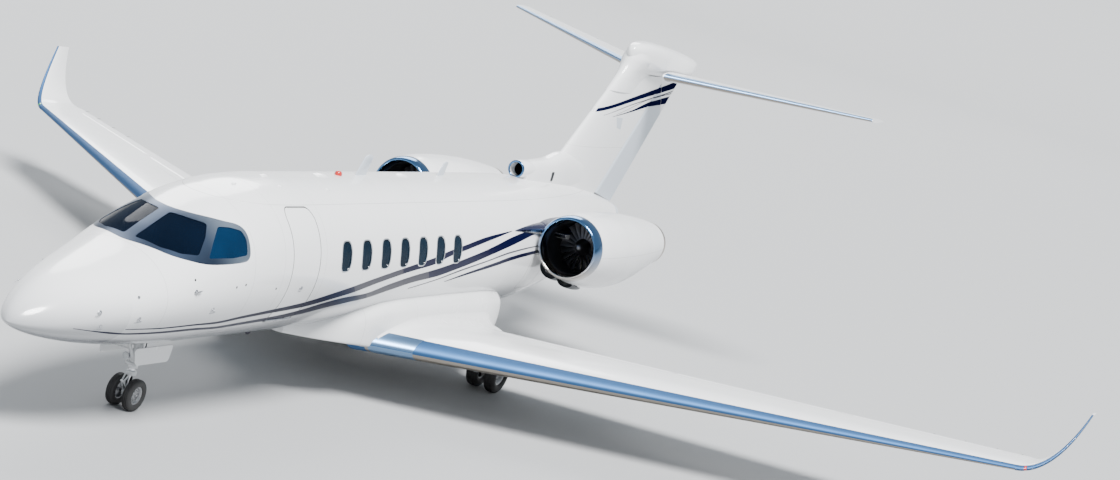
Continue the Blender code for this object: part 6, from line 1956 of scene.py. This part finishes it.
def main_leg(side, sign):
    """All of a main leg but its wheels; by_leg counts outboard of the leg and back from its knee."""
    panel = wings[sign]
    under = float(panel.offset(MAIN_GEAR_X, panel.fraction(MAIN_GEAR_X, KNEE), -1))

    def by_leg(x, back, z):
        return at(sign * (MAIN_GEAR_X + x), KNEE + back, z)
    parts = [strut(by_leg(0, 0, 0.35), by_leg(0, -0.02, under + 0.03), CASTING),
             strut(by_leg(0, 0, 0.40), by_leg(0, 0.56, 0.33), ARM),
             strut(by_leg(-0.048, 0.56, 0.33), by_leg(0.048, 0.56, 0.33),
                   [(0, 0.054), (0.1, 0.058), (0.9, 0.058), (1, 0.054)]),
             strut(by_leg(-0.05, 0, 0.40), by_leg(0.05, 0, 0.40),
                   [(0, 0.052), (0.1, 0.056), (0.9, 0.056), (1, 0.052)]),
             strut(by_leg(0, 0.16, 0.52), by_leg(0, 0.02, under - 0.11), OIL_STRUT),
             bar(by_leg(0, 0, 0.60), by_leg(-0.22, 0, under + 0.01), 0.024),
             bar(by_leg(0, 0, 0.58), by_leg(0.15, 0, 0.58), 0.012),
             bar(by_leg(0, 0, 0.72), by_leg(0.135, 0, 0.74), 0.010)]
    dress(raw("main_leg_casting_" + side, *parts), leg_white,
          stands_for=["main_gear_leg_" + side])
    rod = strut(by_leg(0, 0.34, 0.372), by_leg(0, 0.17, 0.51),
                [(0, 0.03), (0.15, 0.03), (0.2, 0.022), (1, 0.022)])
    dress(raw("main_leg_piston_" + side, rod), chrome)
    brakes = [loft(spun([(way * a, r) for a, r in BRAKE], by_leg(0, 0.56, 0.33), 48), loop=True)
              for way in (1, -1)]
    dress(raw("brake_packs_" + side, *brakes), brake_dark, sharp=40)
    door = [by_leg(0.13, -0.34, 0.76), by_leg(0.13, 0.16, 0.80), by_leg(0.15, 0.14, 0.44),
            by_leg(0.15, -0.22, 0.44)]
    door = column(rounded(door, 0.05), 0 * ACROSS, sign * 0.014 * ACROSS)
    dress(raw("main_leg_door_" + side, door), belly_shaded_white)
    hoses = []
    for x in (-0.035, 0.035):
        path = [by_leg(x, -0.065, under), by_leg(x * 1.2, -0.075, 0.75), by_leg(x, -0.06, 0.50),
                by_leg(x, 0.10, 0.42), by_leg(x * 2.1, 0.47, 0.36)]
        hoses.append(tube(bent(path, 0.08, 10), 0.008, 10))
    dress(raw("main_leg_hoses_" + side, *hoses), hose_black)


for side, sign in SIDES:
    main_leg(side, sign)
print("main legs done")

# %% [markdown]
# ## Wing root, lamps and wicks
# Where the wing meets the body a broad soft fillet turns one into the other. Its section is a curve
# with one control point in the corner; it grows towards the trailing edge.

# %% Fillet, lamps, wicks
def fillet(sign, count=60, steps=14):
    """From the fairing's side to the wing's top, station by station."""
    panel = wings[sign]
    share = np.linspace(0, 1, count)[:, None]
    s = 7.95 + share * 4.40
    fade = 1 - np.clip((s - 11.75) / 0.60, 0, 1) ** 1.6
    reach = (0.05 + 0.40 * share ** 1.2) * fade + 0.004
    side_x = columns_at(BELLY, s, 1)[0] * 0.985
    out_x = side_x + reach
    low = panel.offset(side_x, np.clip(panel.fraction(side_x, s), 0.002, 0.995), 1)
    end = panel.offset(out_x, np.clip(panel.fraction(out_x, s), 0.002, 0.995), 1) - 0.002
    start = np.minimum(low + reach * 1.1, 1.36) * fade + (low + 0.02) * (1 - fade)
    t = np.linspace(0, 1, steps)
    x = np.concatenate([bend(t, side_x, side_x + 0.01, out_x), side_x - 0.05, side_x - 0.05], 1)
    z = np.concatenate([bend(t, start, low + 0.004, end), end - 0.012, start - 0.01], 1)
    return loft(at(sign * x, s, z))


def wicks(panel, spans, length):
    """Thin rods that trail from an edge and lead static charge away."""
    thin = [(0, 0.005), (0.2, 0.004), (1, 0.002)]
    return [strut(point - 0.02 * ALONG, point + length * ALONG - 0.004 * UP, thin, 8)
            for point in (panel.point(span, 0.995, 0) for span in spans)]


for side, sign in SIDES:
    dress(raw("wing_root_fillet_" + side, fillet(sign)), belly_shaded_white, sharp=60)
    lamp = winglet_skin("wing_tip_lamp_" + side, sign, np.linspace(0.12, 0.155, 7), 0.0, 0.05, 14, 0.003)
    dress(lamp, lamp_red if side == "port" else lamp_green)
    dress(raw("wing_wicks_" + side, *wicks(wings[sign], (8.2, 8.7, 9.2), 0.13)), seal_rubber,
          "aileron_" + side)
    dress(raw("tip_wick_" + side, *wicks(wings[sign], (9.6,), 0.13)), seal_rubber)
    dress(raw("tail_wicks_" + side, *wicks(tails[sign], (2.2, 2.9, 3.5), 0.12)), seal_rubber,
          "elevator_" + side)
tail_eye = strut(at(0, 21.60, 5.615), at(0, 21.66, 5.612), [(0, 0.030), (0.5, 0.027), (1, 0.008)], 20)
dress(raw("tail_lamp", tail_eye), lamp_clear)
print("fillets, lamps and wicks done")

# %% [markdown]
# ## Cabin and cockpit inside
# Through the dark glass show the seats, the floor and the boards between the rooms. A seat's cushion is
# a crowned closed form: a sphere whose sines are raised to powers below one, so it turns boxy, with its
# sides drawn in between the corners and sewn channels pressed into the top.

# %% Rooms
FLOOR_LEVEL = 1.34
INNER = loft(rings(np.linspace(2.3, 12.19, 90), CABIN_WALL + 0.0006))
HOOD = np.array([(2.50, 2.17), (2.82, 2.20), (2.90, 2.19), (2.91, 2.165), (2.80, 2.16), (2.50, 2.13)])


def block(name, low, high, corner=0.02):
    """A box with rounded upright corners, given by two corners in place, station and height."""
    x, s = rounded_box(low[:2], high[:2], corner)
    return raw(name, column(at(x, s, 0), low[2] * UP, high[2] * UP))


def board(name, low, high, material, stands_for=()):
    """A block trimmed to the inside of the cabin wall."""
    piece = carve(block(name, low, high, 0.004), [raw("inside", INNER)], "INTERSECT")
    return dress(piece, material, stands_for=stands_for, sharp=40)


board("cabin_floor", (-1.2, 2.45, FLOOR_LEVEL - 0.06), (1.2, 12.10, FLOOR_LEVEL), cabin_carpet,
      ["cabin_interior"])
for label, start, gap in (("front", 4.50, 0.27), ("rear", 5.62, 0.30)):
    for side, sign in SIDES:
        low, high = sorted((sign * gap, sign * 1.2))
        board("partition_%s_%s" % (label, side), (low, start, FLOOR_LEVEL - 0.01), (high, start + 0.04, 3.3),
              cabin_veneer)
board("rear_bulkhead", (-1.2, 12.05, 0.9), (1.2, 12.10, 3.4), cabin_veneer)
board("instrument_panel", (-0.85, 2.62, FLOOR_LEVEL - 0.01), (0.85, 2.78, 2.18), dark_and_shade_metal)
hood = raw("glare_hood", column(rounded(at(0, *HOOD.T), 0.012), -0.86 * ACROSS, 0.86 * ACROSS))
dress(carve(hood, [raw("inside", INNER)], "INTERSECT"), seal_rubber)
dress(block("pedestal", (-0.13, 2.74, FLOOR_LEVEL - 0.01), (0.13, 3.60, 1.88), 0.03), dark_and_shade_metal)
screens = []
for middle in (-0.52, 0.0, 0.52):
    x, z = rounded_box((middle - 0.17, 1.90), (middle + 0.17, 2.12), 0.012)
    screens.append(column(at(x, 2.782, z), 0 * ALONG, 0.006 * ALONG))
dress(raw("screens", *screens), cockpit_glass)
controls = [tube(bent([at(x, 3.0, 1.87), at(x, 2.98, 1.95), at(x, 2.99, 1.99)], 0.02),
                 [0.008] * 7 + [0.016], 10) for x in (-0.05, 0.05)]
for way in (-1, 1):
    for x in (-0.42, 0.42):
        path = [at(x, 3.02, 1.82), at(x + way * 0.12, 3.05, 1.84), at(x + way * 0.13, 3.05, 1.94)]
        if way < 0:
            path.insert(0, at(x, 2.80, 1.80))
        controls.append(tube(bent(path, 0.03), 0.014, 12))
dress(raw("cockpit_controls", *controls), seal_rubber)
print("rooms done")

# %% Seats
SEATS = [(6.75, 0.62, 1), (6.75, -0.62, 1), (7.95, 0.62, -1), (7.95, -0.62, -1), (9.25, 0.62, 1),
         (9.25, -0.62, 1), (10.45, 0.62, -1), (10.45, -0.62, -1), (3.75, 0.42, 1), (3.75, -0.42, 1)]
PADS = (("seat", (0.46, 0.44, 0.15), 4.0, (0, -0.07, 0.345), 3),
        ("back", (0.44, 0.58, 0.12), 78.0, (0, 0.215, 0.66), 3),
        ("head", (0.26, 0.20, 0.10), 80.0, (0, 0.285, 0.955), 0))
FRAME_PARTS = (((0.05, 0.36, 0.05), 13, 32, 2.0, (-0.245, -0.05, 0.555)),
               ((0.035, 0.30, 0.24), 11, 24, 0.0, (-0.245, -0.04, 0.42)),
               ((0.05, 0.36, 0.05), 13, 32, 2.0, (0.245, -0.05, 0.555)),
               ((0.035, 0.30, 0.24), 11, 24, 0.0, (0.245, -0.04, 0.42)),
               ((0.34, 0.36, 0.30), 13, 32, 0.0, (0, -0.05, 0.13)),
               ((0.45, 0.62, 0.05), 13, 32, 78.0, (0, 0.275, 0.65)))


def cushion(size, channels=3, levels=21, sides=56):
    """Across, back and up: cosine and sine of two angles to powers below one; the sides pull in between
    corners by a share of the squared cosine of twice the turn; channels are narrow dips in the top."""
    rise = np.linspace(-np.pi / 2, np.pi / 2, levels)[1:-1, None]
    turn = turns(sides)
    waist = boxy(np.cos(rise), 0.42) * (1 - 0.045 * np.cos(2 * turn) ** 2)
    x = waist * boxy(np.cos(turn), 0.40)
    y = waist * boxy(np.sin(turn), 0.40)
    top = boxy(np.sin(rise), 0.75) * (1 - 0.22 * (x ** 2 + y ** 2) / 2)
    if channels:
        lines = np.abs((x * channels / 1.6 + 0.5) % 1.0 - 0.5)
        top = top - np.where(rise > 0.4, 0.12 * np.exp(-(lines / 0.06) ** 2), 0)
    return np.stack([x, y, top], -1) * size / 2


def placed(points, tilt, middle, foot, facing):
    """Tilt about the across axis, move to its place in the seat, and turn the seat to face its way."""
    c, s = math.cos(math.radians(tilt)), math.sin(math.radians(tilt))
    x, y, z = np.moveaxis(points, -1, 0)
    y, z = y * c - z * s + middle[1], y * s + z * c + middle[2]
    return np.stack([foot[0] + facing * (x + middle[0]), foot[1] + facing * y, foot[2] + z], -1)


def piped(size, tilt, middle, foot, facing, radius=0.006):
    """The sewn cord round a cushion's widest line."""
    edge = cushion(size, 0, 4)[1] * np.array([1.0, 1.0, 0.0]) * 1.004
    ring = placed(edge, tilt, middle, foot, facing)
    return tube(np.concatenate([ring, ring[:2]]), radius, 6)


for number, (s, x, facing) in enumerate(SEATS):
    foot = at(x, s, FLOOR_LEVEL)
    for label, size, tilt, middle, channels in PADS:
        pad = raw("pad_%s_%d" % (label, number),
                  loft(placed(cushion(size, channels), tilt, middle, foot, facing)))
        dress(pad, seat_leather, sharp=70)
    cords = [piped(size, tilt, middle, foot, facing) for label, size, tilt, middle, channels in PADS]
    dress(raw("pad_cords_%d" % number, *cords), seal_rubber, sharp=70)
    parts = [loft(placed(cushion(size, 0, levels, sides), tilt, middle, foot, facing))
             for size, levels, sides, tilt, middle in FRAME_PARTS]
    dress(raw("seat_frame_%d" % number, *parts), cabin_veneer, sharp=60)
print("seats:", len(SEATS))

# %% [markdown]
# ## Floor and light
# The room is one pale sheet: flat under the aircraft, then curving up far away on every side, so that
# no line of a horizon shows behind it. Two broad suns light it, because a sun's light is even over a
# big floor: one high ahead of the port wing, and a weak one behind the tail that draws the edges.


# %% Room and lamps
def sun(name, azimuth, elevation, strength, spread):
    """A far lamp: the direction it comes from, its strength, and how wide it looks in degrees."""
    data = bpy.data.lights.new(name, "SUN")
    data.energy = strength
    data.angle = math.radians(spread)
    obj = bpy.data.objects.new(name, data)
    bpy.context.scene.collection.objects.link(obj)
    turn, rise = math.radians(azimuth), math.radians(elevation)
    towards = Vector((math.sin(turn) * math.cos(rise), -math.cos(turn) * math.cos(rise), math.sin(rise)))
    obj.rotation_euler = towards.to_track_quat("Z", "Y").to_euler()
    return obj


def bowl(flat, bend_radius, sides=96):
    """Rings that run out along the floor, then a quarter circle up."""
    rise = np.linspace(0, np.pi / 2, 25)
    out = np.concatenate([[0.5, 0.5 * flat], flat + bend_radius * np.sin(rise)])
    up = np.concatenate([[0.0, 0.0], bend_radius * (1 - np.cos(rise))])
    return out[:, None, None] * spokes(ACROSS, ALONG, sides) + up[:, None, None] * UP


floor_finish = Finish("floor_paint", (0.34, 0.345, 0.35), 0.75)
cloud = floor_finish.noise(0.15) * 0.05
floor_finish.set("Base Color", floor_finish.mix(cloud, floor_finish.colour, shaded(floor_finish.colour, 0.9)))
room_rings = bowl(190.0, 60.0)
room_mesh = bpy.data.meshes.new("room")
centre_fan = [[0, i + 1, (i + 1) % 96 + 1] for i in range(96)]
room_mesh.from_pydata([(0, 0, 0)] + room_rings.reshape(-1, 3).tolist(), [],
                      centre_fan + (quads(len(room_rings), 96)[:, ::-1] + 1).tolist())
room_mesh.materials.append(floor_finish.material)
room_mesh.shade_smooth()
room = bpy.data.objects.new("room", room_mesh)
bpy.context.scene.collection.objects.link(room)
world = bpy.context.scene.world or bpy.data.worlds.new("pale_sky")
bpy.context.scene.world = world
world.use_nodes = True
sky = world.node_tree.nodes["Background"]
sky.inputs["Color"].default_value = (0.80, 0.90, 1.0, 1.0)
sky.inputs["Strength"].default_value = 0.65
sun("key", 52, 62, 11.0, 24)
sun("rim", 215, 35, 1.6, 30)
print("room and lamps set")
